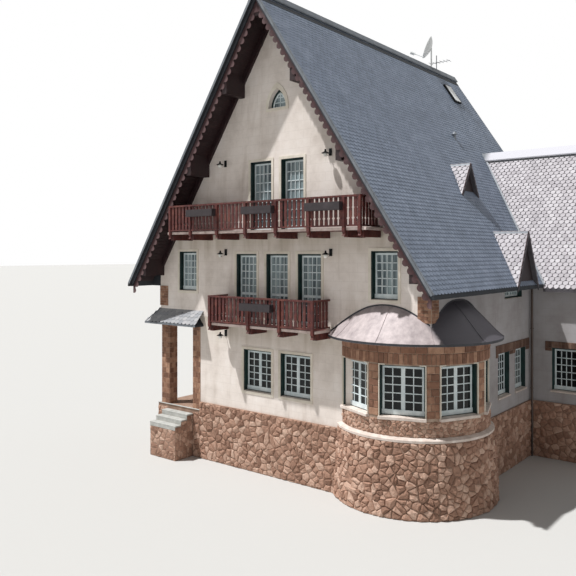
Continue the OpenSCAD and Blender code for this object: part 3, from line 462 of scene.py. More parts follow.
# Slates: their spacing, the height of a course and what the course above covers
SLATE_W, SLATE_DROP, SLATE_TUCK = 0.212, 0.155, 0.03
SCALE = slate_shape(SLATE_W - 0.006, 0.05, 0.008, 0.011)
WING_SCALE = slate_shape(SLATE_W - 0.026, 0.07, 0.012, 0.016)
BLOCK_L, BLOCK_H, BLOCK_DEEP, BLOCK_PROUD = 0.36, 0.185, 0.05, 0.012
BRICK = block_shape()


def one_stone(at, near, limits, depth):
    """A field stone cut halfway to each neighbour and at the limits of its face, then dressed roughly outwards."""
    bm = bmesh.new()
    bmesh.ops.create_grid(bm, x_segments=1, y_segments=1, size=0.6, matrix=Matrix.Translation(at))
    for point, away in [((at + other) / 2, other - at) for other in near] + limits:
        bmesh.ops.bisect_plane(bm, geom=bm.verts[:] + bm.edges[:] + bm.faces[:], plane_co=point, plane_no=away,
                               clear_outer=True)
    bmesh.ops.remove_doubles(bm, verts=bm.verts[:], dist=0.02)
    # A chip smaller than 50 by 50 mm is left to the mortar
    if not bm.faces or sum(face.calc_area() for face in bm.faces) < 0.0025:
        bm.free()
        return None
    bm.faces.ensure_lookup_table()
    face = bm.faces[0]
    # A small stone stands out less and is less uneven
    depth = min(depth, math.sqrt(face.calc_area()) * 0.4)
    rough = depth * 0.17
    to_middle = Matrix.Translation(-face.calc_center_median())
    bmesh.ops.scale(bm, vec=(0.955, 0.955, 1), space=to_middle, verts=bm.verts)
    for step, (rise, shrink) in enumerate(((0.52, 0.94), (0.34, 0.8), (0.14, 0.5))):
        made = bmesh.ops.extrude_face_region(bm, geom=[face], use_keep_orig=step == 0)
        top = new_corners(made)
        face = [part for part in made["geom"] if isinstance(part, bmesh.types.BMFace)][0]
        bmesh.ops.translate(bm, vec=(0, 0, depth * rise), verts=top)
        bmesh.ops.scale(bm, vec=(shrink, shrink, 1), space=to_middle, verts=top)
        for vert in top:
            vert.co += Vector([chance.uniform(-1, 1) for _ in range(3)]) * rough
    return bm


def field_stones(name, faces):
    """Fills faces with field stones; a face has its width, height, stone size, relief and the way it is bent."""
    whole, spare, tones = bmesh.new(), bpy.data.meshes.new("stone"), []
    for width, height, size, depth, bend in faces:
        columns, rows = max(1, round(width / size)), max(1, round(height / size / 0.66))
        seeds = []
        for row in range(-1, rows + 1):
            for column in range(-1, columns + 1):
                # One seed in eight is left out, and the stones round it grow into its place
                if chance.random() > 0.13:
                    across = column + 0.5 + 0.5 * (row % 2) + chance.uniform(-0.44, 0.44)
                    up = row + 0.5 + chance.uniform(-0.42, 0.42)
                    seeds.append(Vector((across * width / columns, up * height / rows, 0)))
        tree = KDTree(len(seeds))
        for i, seed in enumerate(seeds):
            tree.insert(seed, i)
        tree.balance()
        far = Vector((width, height, 0))
        limits = [(point, Vector(away)) for point, away in ((Vector(), (-1, 0, 0)), (far, (1, 0, 0)),
                                                            (Vector(), (0, -1, 0)), (far, (0, 1, 0)))]
        for seed in seeds:
            if not (-size < seed.x < width + size and -size < seed.y < height + size):
                continue
            near = [Vector(found[0]) for found in tree.find_n(seed, 11) if found[2] > 1e-6]
            stone = one_stone(seed, near, limits, depth * chance.uniform(0.75, 1.2))
            if stone is None:
                continue
            for vert in stone.verts:
                vert.co = bend(vert.co)
            tones += [chance.random()] * len(stone.faces)
            stone.to_mesh(spare)
            stone.free()
            whole.from_mesh(spare)
    bmesh.ops.recalc_face_normals(whole, faces=whole.faces)
    piece(name, whole, RUBBLE, tones)


def flat_face(start, end, foot):
    """Bends a flat layout on to a wall from start to end, its outside to the right of that way."""
    turn = math.atan2(end[1] - start[1], end[0] - start[0])
    place = Matrix.Translation((start[0], start[1], foot)) @ Matrix.Rotation(turn, 4, "Z")
    return lambda at: place @ Vector((at.x, STONE_BED - at.z, max(at.y, 0.003)))


def round_face(first, middle_radius, foot, low_radius, high_radius, height):
    """Bends a flat layout round the bay, from a first angle and between two radii."""
    def bent(at):
        turn = math.radians(first) + at.x / middle_radius
        radius = low_radius + (high_radius - low_radius) * at.y / height + at.z - STONE_BED
        return Vector((BAY.x + radius * math.sin(turn), BAY.y - radius * math.cos(turn), foot + max(at.y, 0.003)))
    return bent


def slope_places(axes, width, length, wanted=None):
    """Courses of slates on a slope, every other course moved half a slate, cut straight at both ends."""
    courses = round(length / SLATE_DROP)
    drop = length / courses
    places = []
    for course in range(courses):
        shift = course % 2 / 2
        for i in range(int(width / SLATE_W) + 2):
            low, high = max(0.0, (i - shift) * SLATE_W), min(width, (i + 1 - shift) * SLATE_W)
            if high - low < 0.03:
                continue
            middle = Vector(((low + high) / 2, course * drop, 0))
            if wanted and not wanted(axes @ middle):
                continue
            size = Matrix.Diagonal(((high - low) / SLATE_W, drop / SLATE_DROP, 1, 1))
            places.append((axes @ Matrix.Translation(middle) @ size, chance.random()))
    return places


def main_height(x):
    """Height of the main slopes over a distance from the gable's axis."""
    return RIDGE - SLOPE * abs(x)


# Length of a main slope from ridge to eave, and what a metre of it runs out and drops
FALL = math.hypot(EAVE_X, RIDGE - EAVE)
RUN, DROP = EAVE_X / FALL, (RIDGE - EAVE) / FALL


def main_slates():
    """Slates of both main slopes; those under the wing's roof are left off."""
    width = DEPTH + VERGE + REAR_VERGE
    right = plane_at((0, DEPTH + REAR_VERGE, RIDGE), (RUN, 0, -DROP), (DROP, 0, RUN))
    left = plane_at((0, -VERGE, RIDGE), (-RUN, 0, -DROP), (-DROP, 0, RUN))

    def clear(at):
        wing_height = WING_RIDGE - WING_SLOPE * abs(at.y - WING_AXIS)
        return at.z > wing_height - 0.25 or not WING_FRONT - WING_OUT < at.y < DEPTH + WING_OUT

    laid("slates_right", SCALE, slope_places(right, width, FALL - 0.034, clear), SLATE)
    laid("slates_left", SCALE, slope_places(left, width, FALL - 0.034), SLATE)


def wing_slates():
    """Bleached slates of the wing's two slopes, from the valley to the far verge."""
    half, drop = WING_HALF + WING_OUT, WING_RIDGE - WING_EAVE
    # The courses start inside the main slope, where the ridges meet
    start, end = 2.9, WING_END + WING_VERGE
    places = []
    for side, corner in ((-1, end), (1, start)):
        axes = plane_at((corner, WING_AXIS, WING_RIDGE), (0, side * half, -drop), (0, side * drop, half))
        places += slope_places(axes, end - start, math.hypot(half, drop) - 0.012,
                               lambda at: at.z > main_height(at.x) - 0.12)
    laid("slates_wing", WING_SCALE, places, PALE_SLATE)


def dormer_slates():
    """Bleached slates on the dormers' small slopes."""
    places = []
    # Far enough back for the larger dormer to reach the main slope
    reach = 2.5
    for axis, top, half, low, front in DORMERS:
        length = math.hypot(half, low)
        for side, corner in ((-1, front), (1, front - reach)):
            axes = plane_at((corner, axis, top), (0, side * half, -low), (0, side * low, half))
            places += slope_places(axes, reach, length - 0.01, lambda at: at.z > main_height(at.x) - 0.1)
    laid("slates_dormers", WING_SCALE, places, PALE_SLATE)


def porch_slates():
    """Courses on the porch's hipped lean-to, mitred at the hip, with its hip and eave strips."""
    low, rise, out = 5.08, 0.52, 0.45
    fall = math.hypot(out, rise) - 0.01
    left, right, back = -HALF_WIDTH - out, -3.55, 2.9
    front = plane_at((right, 0, low + rise), (0, -out, -rise), (0, -rise, out))
    side = plane_at((-HALF_WIDTH, -out, low + rise), (-out, 0, -rise), (-rise, 0, out))

    def past_hip(at, along):
        return along > -(low + rise - at.z) * out / rise - 0.06

    places = slope_places(front, right - left, fall, lambda at: past_hip(at, at.x + HALF_WIDTH))
    places += slope_places(side, back + out, fall, lambda at: past_hip(at, at.y))
    laid("slates_porch", SCALE, places, WASHED_SLATE)
    strips = bmesh.new()
    beam(strips, (left + 0.02, -out + 0.02, low + 0.02), (-HALF_WIDTH, 0.0, low + rise + 0.02), 0.12, 0.02,
         (-1, -1, 1.7), 0.004)
    foot = low - 0.03
    beam(strips, (left, -out - 0.003, foot), (right, -out - 0.003, foot), 0.07, 0.008, (0, -1, 0), 0.002)
    beam(strips, (left - 0.003, -out, foot), (left - 0.003, back, foot), 0.07, 0.008, (-1, 0, 0), 0.002)
    piece("porch_roof_strips", strips, VERGE_SHEET)


def roof_trim():
    """Stepped verge strips, ridge strips dark as painted shadow of the caps, valleys, soffit boards and the
    dormers' edges.
    """
    zinc, shade, cap_shadow, valley, soffit, edges = (bmesh.new() for _ in range(6))
    square, upper = SLAB * RUN, LAYER * RUN
    top = Vector((0, 0, RIDGE))
    for side in (-1, 1):
        down, off = Vector((side * RUN, 0, -DROP)), Vector((side * DROP, 0, RUN))
        for y, out in ((-VERGE, -1), (DEPTH + REAR_VERGE, 1)):
            # Sheet over the edge of the slates, and the boarding's edge a step behind it, dark as painted shade
            # under the sheet
            for level, height, back, into in ((upper / 2, upper, 0.0, zinc),
                                              ((upper + square) / 2, square - upper, VERGE_STEP, shade)):
                here = top - off * level + Vector((0, y - out * (back - 0.004), 0))
                beam(into, here + down * (level * SLOPE * 0.99), here + down * (FALL - 0.02 - level / SLOPE),
                     height * 0.98, 0.008, (0, out, 0), 0.002)
            here = top + off * 0.012 + Vector((0, y - out * 0.03, 0))
            beam(zinc, here + down * 0.2, here + down * (FALL - 0.035), 0.06, 0.016, off, 0.003)
            # Boards across the underside of the verge, near black as painted shade
            wall, spacing = -0.12 if out < 0 else DEPTH + 0.12, 0.145
            for i in range(int((FALL - 0.9) / spacing)):
                at = top - off * (square + 0.008) + down * (0.75 + i * spacing)
                if abs(at.x) < EAVE_X - 0.3:
                    beam(soffit, (at.x, y - out * 0.14, at.z), (at.x, wall, at.z), 0.14, 0.014, off, 0.003)
        # Dark strip below the ridge cap: painted shadow of the cap
        strip = top + off * 0.016 + down * 0.36
        beam(cap_shadow, strip + Vector((0, -VERGE, 0)), strip + Vector((0, DEPTH + REAR_VERGE, 0)), 0.2, 0.02, off)
    fall = math.hypot(1, WING_SLOPE)
    top, end = Vector((0, WING_AXIS, WING_RIDGE)), WING_END + WING_VERGE
    length = (WING_HALF + WING_OUT) * fall
    for side in (-1, 1):
        down = Vector((0, side / fall, -WING_SLOPE / fall))
        off = Vector((0, side * WING_SLOPE / fall, 1 / fall))
        # Dark strip below the wing's ridge cap: painted shadow of the cap
        strip = top + off * 0.016 + down * 0.33
        beam(cap_shadow, strip + Vector((3.25, 0, 0)), strip + Vector((end, 0, 0)), 0.1, 0.02, off)
        # The wing's verge sheet, and its boarding a step behind, dark as painted shade
        for level, height, back, into in ((0.035, 0.07, 0.0, zinc), (0.108, 0.076, VERGE_STEP, shade)):
            here = top + Vector((end + 0.004 - back, 0, 0)) - off * level
            beam(into, here + down * (level * WING_SLOPE), here + down * (length - 0.03 - level / WING_SLOPE),
                 height, 0.008, (1, 0, 0), 0.002)
    # The valley's two strips, one on each slope
    foot = Vector((EAVE_X, WING_FRONT - WING_OUT, EAVE))
    head = Vector(((RIDGE - WING_RIDGE) / SLOPE, WING_AXIS, WING_RIDGE))
    for normal, away in ((Vector((DROP, 0, RUN)), Vector((0, -1, 0))),
                         (Vector((0, -WING_SLOPE, 1)).normalized(), Vector((1, 0, 0)))):
        side = normal.cross((head - foot).normalized())
        lift = normal * 0.02 + side * math.copysign(0.04, side.dot(away))
        beam(valley, foot + lift, head + lift, 0.07, 0.01, normal)
    for axis, top, half, low, front in DORMERS:
        fall = math.hypot(half, low)
        for side in (-1, 1):
            normal = Vector((0, side * low / fall, half / fall))
            start, end = Vector((front - 0.02, axis, top)), Vector((front - 0.02, axis + side * half, top - low))
            beam(edges, start + normal * 0.012, end + normal * 0.012, 0.07, 0.02, (1, 0, 0))
            back = Vector(((RIDGE - top) / SLOPE, axis, top))
            lift = Vector((0, side * half / fall, -low / fall)) * 0.04 + normal * 0.02
            beam(valley, start + lift, back + lift, 0.08, 0.012, normal)
    piece("verge_strips", zinc, VERGE_SHEET)
    piece("verge_boards", shade, DARK_SHEET)
    piece("ridge_shadow_strips", cap_shadow, RIDGE_SHADOW)
    piece("valley_strips", valley, VERGE_SHEET)
    piece("soffit_boards", soffit, STAIN_AND_SHADE_PINE)
    piece("dormer_edge_boards", edges, BARGE)


def window_list():
    """Each rectangular window: its place on the wall's outer face, width, height, leaves, columns, rows and rail.

    A door's rail is its height and the rows of panes below it.
    """
    here = []

    def put(x, y, z, turn, w, h, leaves, columns, rows, rail=None):
        place = Matrix.Translation((x, y, z)) @ Matrix.Rotation(math.radians(turn), 4, "Z")
        here.append((place, w, h, leaves, columns, rows, rail))

    for x in (-0.82, 0.9):
        put(x, 0, 2.85, 0, 1.3, 1.5, 2, 2, 5)
    for x in (-1.34, 0.09, 1.5):
        put(x, 0, FIRST_FLOOR, 0, 0.98, 2.48, 1, 4, 5, (1.04, 3))
    for x in (-4.4, 4.4):
        put(x, 0, 6.36, 0, 0.96, 1.52, 1, 4, 5)
    for x in (-0.65, 0.77):
        put(x, 0, SECOND_FLOOR, 0, 0.98, 2.48, 1, 4, 4, (1.06, 3))
    for x in (-4.4, -1.5, 1.5, 4.4, 7.7, 9.9):
        put(x, DEPTH, 2.85, 180, 1.3, 1.5, 2, 2, 5)
    for x in (-4.4, -1.45, 1.45, 4.4):
        put(x, DEPTH, 6.36, 180, 0.96, 1.52, 1, 4, 5)
    for x in (-0.71, 0.71):
        put(x, DEPTH, SECOND_FLOOR + 0.9, 180, 0.96, 1.52, 1, 4, 5)
    for y in (5.0, 8.2, 11.4):
        put(-HALF_WIDTH, y, 2.85, -90, 1.3, 1.5, 2, 2, 5)
    for y in SIDE_WINDOWS:
        put(HALF_WIDTH, y, 2.7, 90, 1.08, 1.56, 1, 4, 5)
    put(HALF_WIDTH, 6.55, 6.155, 90, 1.72, 0.34, 2, 4, 1)
    for x in WING_WINDOWS:
        put(x, WING_FRONT, 2.6, 0, 0.98, 1.62, 1, 4, 5)
    for y in (9.7, 11.98):
        put(WING_END, y, 2.7, 90, 1.3, 1.5, 2, 2, 5)
    for angle in BAY_ANGLES:
        at = round_bay(angle, BAY_R - 0.105, 0).translation
        put(at.x, at.y, BAY_SILL, angle, BAY_WIN_W, BAY_WIN_H, 2, 2, 5)
    return here


def outside_arc(radius):
    """Angles round the bay, from straight ahead, where a circle lies outside the two house walls."""
    start = -math.degrees(math.acos(min(1, BAY.y / radius)))
    end = 180 - math.degrees(math.asin(min(1, (HALF_WIDTH - BAY.x) / radius)))
    return start, end


def round_bay(angle, radius, z):
    """A place on the bay at an angle from straight ahead, turned to face outwards."""
    axis = Matrix.Translation(BAY) @ Matrix.Rotation(math.radians(angle), 4, "Z")
    return axis @ Matrix.Translation((0, -radius, z))


def sash_bar(bm, place, x0, z0, x1, z1, wide, deep=0.022, y=RECESS + 0.02):
    """Adds a bar in a window's own plane, y behind the wall's face."""
    out = place.to_3x3() @ Vector((0, -1, 0))
    beam(bm, place @ Vector((x0, y, z0)), place @ Vector((x1, y, z1)), wide, deep, out, 0.003)


def window_joinery(bars, lining, sills):
    """Glazing bars, rails, green linings of the reveals and sill boards of the rectangular windows."""
    glazing, reveal, middle = RECESS + 0.019, RECESS - 0.004, RECESS / 2 + 0.002
    for place, w, h, leaves, columns, rows, rail in window_list():
        inner = w - 2 * FRAME_W
        low, high = FRAME_W + SASH_W, h - FRAME_W - SASH_W
        if h > 1:
            # The bottom rail is taller than the stiles
            low += 0.06
            across, level = inner / 2 + 0.02, low - 0.07
            sash_bar(bars, place, -across, level, across, level, 0.145, 0.03, RECESS + 0.012)
        parts = [(low, high, rows)]
        if rail:
            level, panes = rail
            parts = [(low, level - 0.045, panes), (level + 0.045, high, rows)]
            across = inner / 2 - SASH_W
            sash_bar(bars, place, -across, level, across, level, 0.09, 0.03, RECESS + 0.015)
        if leaves > 1:
            sash_bar(bars, place, 0, low, 0, high, 0.05, 0.02, RECESS + 0.01)
        for i in range(leaves):
            x0 = -inner / 2 + i * inner / leaves + SASH_W
            x1 = x0 + inner / leaves - 2 * SASH_W
            for z0, z1, count in parts:
                for column in range(1, columns):
                    x = x0 + (x1 - x0) * column / columns
                    sash_bar(bars, place, x, z0, x, z1, 0.03, y=glazing)
                for row in range(1, count):
                    z = z0 + (z1 - z0) * row / count
                    sash_bar(bars, place, x0, z, x1, z, 0.03, y=glazing)
        for x in (-w / 2 + 0.007, w / 2 - 0.007):
            sash_bar(lining, place, x, 0, x, h, 0.014, reveal, middle)
        # A glazed door has no sill board
        if not rail:
            sash_bar(sills, place, -w / 2, 0.007, w / 2, 0.007, 0.014, reveal, middle)
        sash_bar(lining, place, -w / 2, h - 0.007, w / 2, h - 0.007, 0.014, reveal, middle)


def pointed_joinery(bars):
    """Pointed attic windows: a white border, one upright and two bars that stop at the arch."""
    span = 0.66
    border = span * 0.955
    for place in (Matrix.Translation((0.1, 0, 12.89)),
                  Matrix.Translation((0.1, DEPTH, 12.89)) @ Matrix.Rotation(math.pi, 4, "Z"),
                  Matrix.Translation((WING_END, WING_AXIS, 7.6)) @ Matrix.Rotation(math.pi / 2, 4, "Z")):
        for angle in range(0, 60, 10):
            for side in (-1, 1):
                (x0, z0), (x1, z1) = ((side * (border * math.cos(turn) - span / 2), border * math.sin(turn))
                                      for turn in (math.radians(angle), math.radians(angle + 10)))
                if side * x1 > -0.02:
                    sash_bar(bars, place, x0, z0, x1, z1, 0.05, 0.03)
        sash_bar(bars, place, -span / 2, 0.03, span / 2, 0.03, 0.06, 0.03)
        sash_bar(bars, place, 0, 0, 0, 0.55, 0.035)
        for z in (0.2, 0.38):
            half = math.sqrt(span ** 2 - z ** 2) - span / 2 - 0.01
            sash_bar(bars, place, -half, z, half, z, 0.03)


def joinery():
    """All window woodwork, the stone sills and the bay's painted trims."""
    bars, lining, sills, trims = (bmesh.new() for _ in range(4))
    window_joinery(bars, lining, sills)
    pointed_joinery(bars)
    half, head, face = BAY_WIN_W / 2, BAY_SILL + BAY_WIN_H, -BAY_R + 0.085
    for angle in BAY_ANGLES:
        turned = round_bay(angle, 0, 0)
        out = turned.to_3x3() @ Vector((0, -1, 0))
        for x0, z0, x1, z1, forward, wide, deep, into in (
                (-half - 0.04, BAY_SILL - 0.036, half + 0.04, BAY_SILL - 0.036, 0.03, 0.09, 0.13, sills),
                (-half - 0.03, head + 0.014, half + 0.03, head + 0.014, 0, 0.035, 0.06, trims),
                (-half - 0.013, BAY_SILL, -half - 0.013, head, 0, 0.03, 0.06, trims),
                (half + 0.013, BAY_SILL, half + 0.013, head, 0, 0.03, 0.06, trims)):
            y = face - forward
            beam(into, turned @ Vector((x0, y, z0)), turned @ Vector((x1, y, z1)), wide, deep, out, 0.008)
    for y in SIDE_WINDOWS:
        start, end = ((HALF_WIDTH + 0.01, y + across, 2.67) for across in (-0.57, 0.57))
        beam(sills, start, end, 0.06, 0.1, (1, 0, 0), 0.008)
    for x in WING_WINDOWS:
        start, end = ((x + across, WING_FRONT - 0.01, 2.57) for across in (-0.53, 0.53))
        beam(sills, start, end, 0.06, 0.1, (0, -1, 0), 0.008)
    piece("glazing_bars", bars, WHITE)
    piece("reveal_linings", lining, GREEN)
    piece("window_sills", sills, CUT_STONE)
    piece("bay_window_trims", trims, CREAM)


def bay_blocks():
    """Brown blocks round the bay: piers between the windows, then a course on end and a long course over them."""
    places = []

    def course(z, height, spans, length, shift=False):
        for first, last in spans:
            arc = math.radians(last - first) * BAY_R
            if arc < 0.05:
                continue
            # Widths vary by a quarter either way
            cuts, at = [0.0], length * (0.5 if shift else 1.0) * chance.uniform(0.8, 1.2)
            while at < arc - length * 0.45:
                cuts.append(at)
                at += length * chance.uniform(0.75, 1.25)
            cuts.append(arc)
            for low, high in zip(cuts, cuts[1:]):
                spot = round_bay(first + math.degrees((low + high) / 2 / BAY_R), BAY_R - 0.006, z + height / 2)
                size = Matrix.Diagonal(((high - low - 0.016) / BLOCK_L, 1, (height - 0.016) / BLOCK_H, 1))
                places.append((spot @ Matrix.Rotation(chance.uniform(-0.01, 0.01), 4, "Y") @ size, chance.random()))

    half = math.degrees(math.asin((BAY_WIN_W / 2 + 0.03) / BAY_R))
    start, end = outside_arc(BAY_R)
    edges = [start] + [angle + side * half for angle in BAY_ANGLES for side in (-1, 1)] + [end]
    for row in range(7):
        course(BAY_SILL + row * BAY_WIN_H / 7, BAY_WIN_H / 7, list(zip(edges[::2], edges[1::2])), 0.3, row % 2)
    top = BAY_SILL + BAY_WIN_H + 0.03
    course(top, 0.33, [(start, end)], 0.15)
    course(top + 0.33, BAY_WALL_TOP - top - 0.33, [(start, end)], 0.42)
    laid("bay_blocks", BRICK, places, BLOCK)


def bay_stones():
    """Field stones of the battered base and the smaller ones under the bay's windows."""
    faces = []
    for foot, top, low, high, size, depth in ((0.0, STRING_FOOT, BAY_FOOT_R, BAY_R + 0.12, 0.25, 0.075),
                                              (STRING_TOP, BAY_SILL - 0.08, BAY_R, BAY_R, 0.16, 0.05)):
        start, end = outside_arc(high)
        middle = (low + high) / 2
        faces.append((math.radians(end - start) * middle, top - foot, size, depth,
                      round_face(start, middle, foot, low, high, top - foot)))
    field_stones("bay_field_stones", faces)


def plinth_stones():
    """Field stones on the plinths, the porch floor and its steps, and the treads and risers of the steps."""
    out = PLINTH_OUT
    x_out, y_out, end, side = HALF_WIDTH + out, DEPTH + out, WING_END + out, WING_FRONT - out
    # Below the porch floor the stones stop under its edge slab
    faces, porch = [], PORCH_TOP - 0.12
    for start, finish, top in (
            ((-3.7, -out), (2.66, -out), PLINTH_TOP), ((x_out, 3.78), (x_out, side), PLINTH_TOP),
            ((x_out, side), (end, side), PLINTH_TOP), ((end, side), (end, y_out), PLINTH_TOP),
            ((end, y_out), (-x_out, y_out), PLINTH_TOP), ((-x_out, y_out), (-x_out, 2.82), PLINTH_TOP),
            ((-x_out, 2.79), (-x_out, -out), porch), ((-x_out, -out), (STEP_LEFT - 0.01, -out), porch),
            ((STEP_RIGHT + 0.01, -out), (-3.72, -out), porch)):
        run = math.hypot(finish[0] - start[0], finish[1] - start[1])
        faces.append((run, top, 0.26, 0.06, flat_face(start, finish, 0)))
    # Sides and front of the three steps, each as high as its tread
    for i in range(1, 4):
        near, far, top = -out - (i - 1) * STEP_GO, -out - i * STEP_GO, PORCH_TOP - i * STEP_RISE - 0.06
        for start, finish in (((STEP_RIGHT, far), (STEP_RIGHT, near)), ((STEP_LEFT, near), (STEP_LEFT, far))):
            faces.append((STEP_GO, top, 0.24, 0.035, flat_face(start, finish, 0)))
    front = -out - 3 * STEP_GO
    faces.append((STEP_RIGHT - STEP_LEFT, 1.14, 0.24, 0.035, flat_face((STEP_LEFT, front), (STEP_RIGHT, front), 0)))
    field_stones("plinth_field_stones", faces)
    treads = bmesh.new()
    for i in range(1, 4):
        y, z = -out - (i - 0.5) * STEP_GO, PORCH_TOP - i * STEP_RISE
        start, finish = ((x, y - 0.012, z - 0.025) for x in (STEP_LEFT - 0.02, STEP_RIGHT + 0.02))
        beam(treads, start, finish, STEP_GO, 0.055, (0, 0, 1), 0.008)
        start, finish = ((x, y - 0.154, z - 0.11) for x in (STEP_LEFT, STEP_RIGHT))
        beam(treads, start, finish, 0.115, 0.012, (0, -1, 0), 0.003)
    edge, level = -out / 2 - 0.01, PORCH_TOP + 0.005
    beam(treads, (-x_out, edge, level), (-3.7, edge, level), out + 0.03, 0.02, (0, 0, 1), 0.005)
    piece("step_treads", treads, STEP_STONE)


def flat_blocks(places, origin, turn, width, height, length, rise=BLOCK_H + 0.012, holes=()):
    """Courses of blocks on a flat face, cut round its openings; across and up are measured from origin."""
    rows = max(1, round(height / rise))
    step = height / rows
    face = Matrix.Translation(origin) @ Matrix.Rotation(math.radians(turn), 4, "Z")
    for row in range(rows):
        z0, z1 = row * step, (row + 1) * step
        spans = [(0.0, width)]
        for left, right, foot, head in holes:
            if z0 < head - 0.05 and z1 > foot + 0.05:
                cut = [part for a, b in spans for part in ((a, min(b, left)), (max(a, right), b))]
                spans = [(a, b) for a, b in cut if b - a > 0.02]
        for a, b in spans:
            count = max(1, round((b - a) / length))
            shift = 0.5 if row % 2 and count > 1 else 0.0
            for i in range(count + (1 if shift else 0)):
                low = a + (b - a) * max(0, i - shift) / count
                high = a + (b - a) * min(count, i + 1 - shift) / count
                spot = Matrix.Translation(((low + high) / 2, BLOCK_DEEP / 2 - BLOCK_PROUD, (z0 + z1) / 2))
                size = Matrix.Diagonal(((high - low - 0.01) / BLOCK_L, 1, (step - 0.011) / BLOCK_H, 1))
                places.append((face @ spot @ size, chance.random()))


def flat_brickwork():
    """Blocks of the porch piers, the lintels and the corner quoins."""
    places = []
    foot, height = PORCH_TOP, FIRST_FLOOR - 0.25 - PORCH_TOP
    for x, y, w, d in ((-5.92, 0.0, 0.46, WALL), (-4.13, 0.0, 0.42, WALL), (-6.0, 2.38, WALL, 0.42)):
        for across, back, turn, run in ((0, 0, 0, w), (w, 0, 90, d), (w, d, 180, w), (0, d, -90, d)):
            flat_blocks(places, (x + across, y + back, foot), turn, run, height, 0.24)
    # Lintels on end over the side and wing windows, their ends hanging a hand lower
    hang, proud = 0.13, 0.02
    start, width, level = 4.86, 3.27, 4.13
    holes = [(y - 0.55 - start, y + 0.55 - start, -0.05, hang) for y in SIDE_WINDOWS]
    flat_blocks(places, (HALF_WIDTH + proud, start, level), 90, width, hang, 0.22, hang, holes)
    flat_blocks(places, (HALF_WIDTH + proud, start, level + hang), 90, width, 0.3, 0.12, 0.3)
    width, level, holes = 1.48, 4.09, [(0.24, 1.24, -0.05, hang)]
    for x in WING_WINDOWS:
        flat_blocks(places, (x - width / 2, WING_FRONT - proud, level), 0, width, hang, 0.22, hang, holes)
        flat_blocks(places, (x - width / 2, WING_FRONT - proud, level + hang), 0, width, 0.24, 0.12, 0.24)
    foot, height = FIRST_FLOOR + 0.42, EAVE - FIRST_FLOOR - 0.52
    for x, y, turn in ((5.55, -0.02, 0), (6.02, -0.02, 90), (-6.0, -0.02, 0), (-6.02, 0.45, -90)):
        flat_blocks(places, (x, y, foot), turn, 0.45, height, 0.22, 0.1)
    laid("brickwork", BRICK, places, BLOCK)


def bay_roof_height(radius):
    """Height of the bay's sheet at a distance from the bay's axis."""
    for (r0, h0), (r1, h1) in zip(BELL, BELL[1:]):
        if radius <= r1:
            return BAY_EAVE + h0 + (h1 - h0) * (radius - r0) / (r1 - r0)
    return BAY_EAVE


def bay_roof_trim():
    """Standing seams down the bay's sheet roof, its drip edge and the flashing against the walls."""
    seams, dark = bmesh.new(), bmesh.new()
    for angle in (-30, 5, 40, 76, 112):
        ahead = Vector((math.sin(math.radians(angle)), -math.cos(math.radians(angle)), 0))
        # Each seam starts where it leaves the walls
        reach = [-BAY.y / ahead.y] if ahead.y < 0 else []
        if ahead.x > 0:
            reach.append((HALF_WIDTH - BAY.x) / ahead.x)
        inner = max(1.4, min(reach) + 0.02)
        radii = [inner] + [r for r, _ in BELL if r > inner + 0.03]
        points = [BAY + ahead * r + Vector((0, 0, bay_roof_height(r) + 0.008)) for r in radii]
        for start, end in zip(points, points[1:]):
            beam(seams, start, end, 0.025, 0.022, (0, 0, 1))
    # Flashing where the sheet meets the front wall and the side wall
    for in_front in (True, False):
        reach = BAY.y if in_front else HALF_WIDTH - BAY.x
        far = math.sqrt(BAY_EAVE_R ** 2 - reach ** 2) - 0.06
        points = []
        for i in range(41):
            along = far * (i / 20 - 1)
            x, y = (BAY.x + along, -0.008) if in_front else (HALF_WIDTH + 0.008, BAY.y + along)
            if x <= HALF_WIDTH + 0.01 and y >= -0.01:
                points.append(Vector((x, y, bay_roof_height(math.hypot(x - BAY.x, y - BAY.y)) + 0.03)))
        for start, end in zip(points, points[1:]):
            beam(dark, start, end, 0.012, 0.045, (0, 0, 1), 0.003)
    start, end = outside_arc(BAY_EAVE_R)
    section = (round_bay(start + 1, BAY_EAVE_R - 0.004, BAY_EAVE - 0.035) @ Matrix.Rotation(math.pi / 2, 4, "Y")
               @ Matrix.Diagonal((0.07, 0.014, 1, 1)))
    made = bmesh.ops.create_grid(dark, x_segments=1, y_segments=1, size=0.5, matrix=section)
    faces = list({f for v in made["verts"] for f in v.link_faces})
    bmesh.ops.spin(dark, geom=faces, cent=BAY, axis=(0, 0, 1), angle=math.radians(end - start - 2), steps=72,
                   use_duplicate=False)
    bmesh.ops.recalc_face_normals(dark, faces=dark.faces)
    piece("bay_roof_seams", seams, BAY_SHEET)
    piece("bay_roof_flashing", dark, DARK_SHEET)


def balcony_trim():
    """Bleached boards along the edges of both balcony floors."""
    edge = bmesh.new()
    for half, depth, top in ((4.38, 1.04, SECOND_FLOOR), (2.37, 0.86, FIRST_FLOOR)):
        z = top - 0.035
        beam(edge, (-half, -depth - 0.006, z), (half, -depth - 0.006, z), 0.09, 0.012, (0, -1, 0))
        for side in (-1, 1):
            x = side * (half + 0.006)
            beam(edge, (x, -depth - 0.01, z), (x, 0, z), 0.09, 0.012, (side, 0, 0))
    piece("balcony_edge_boards", edge, EDGE)


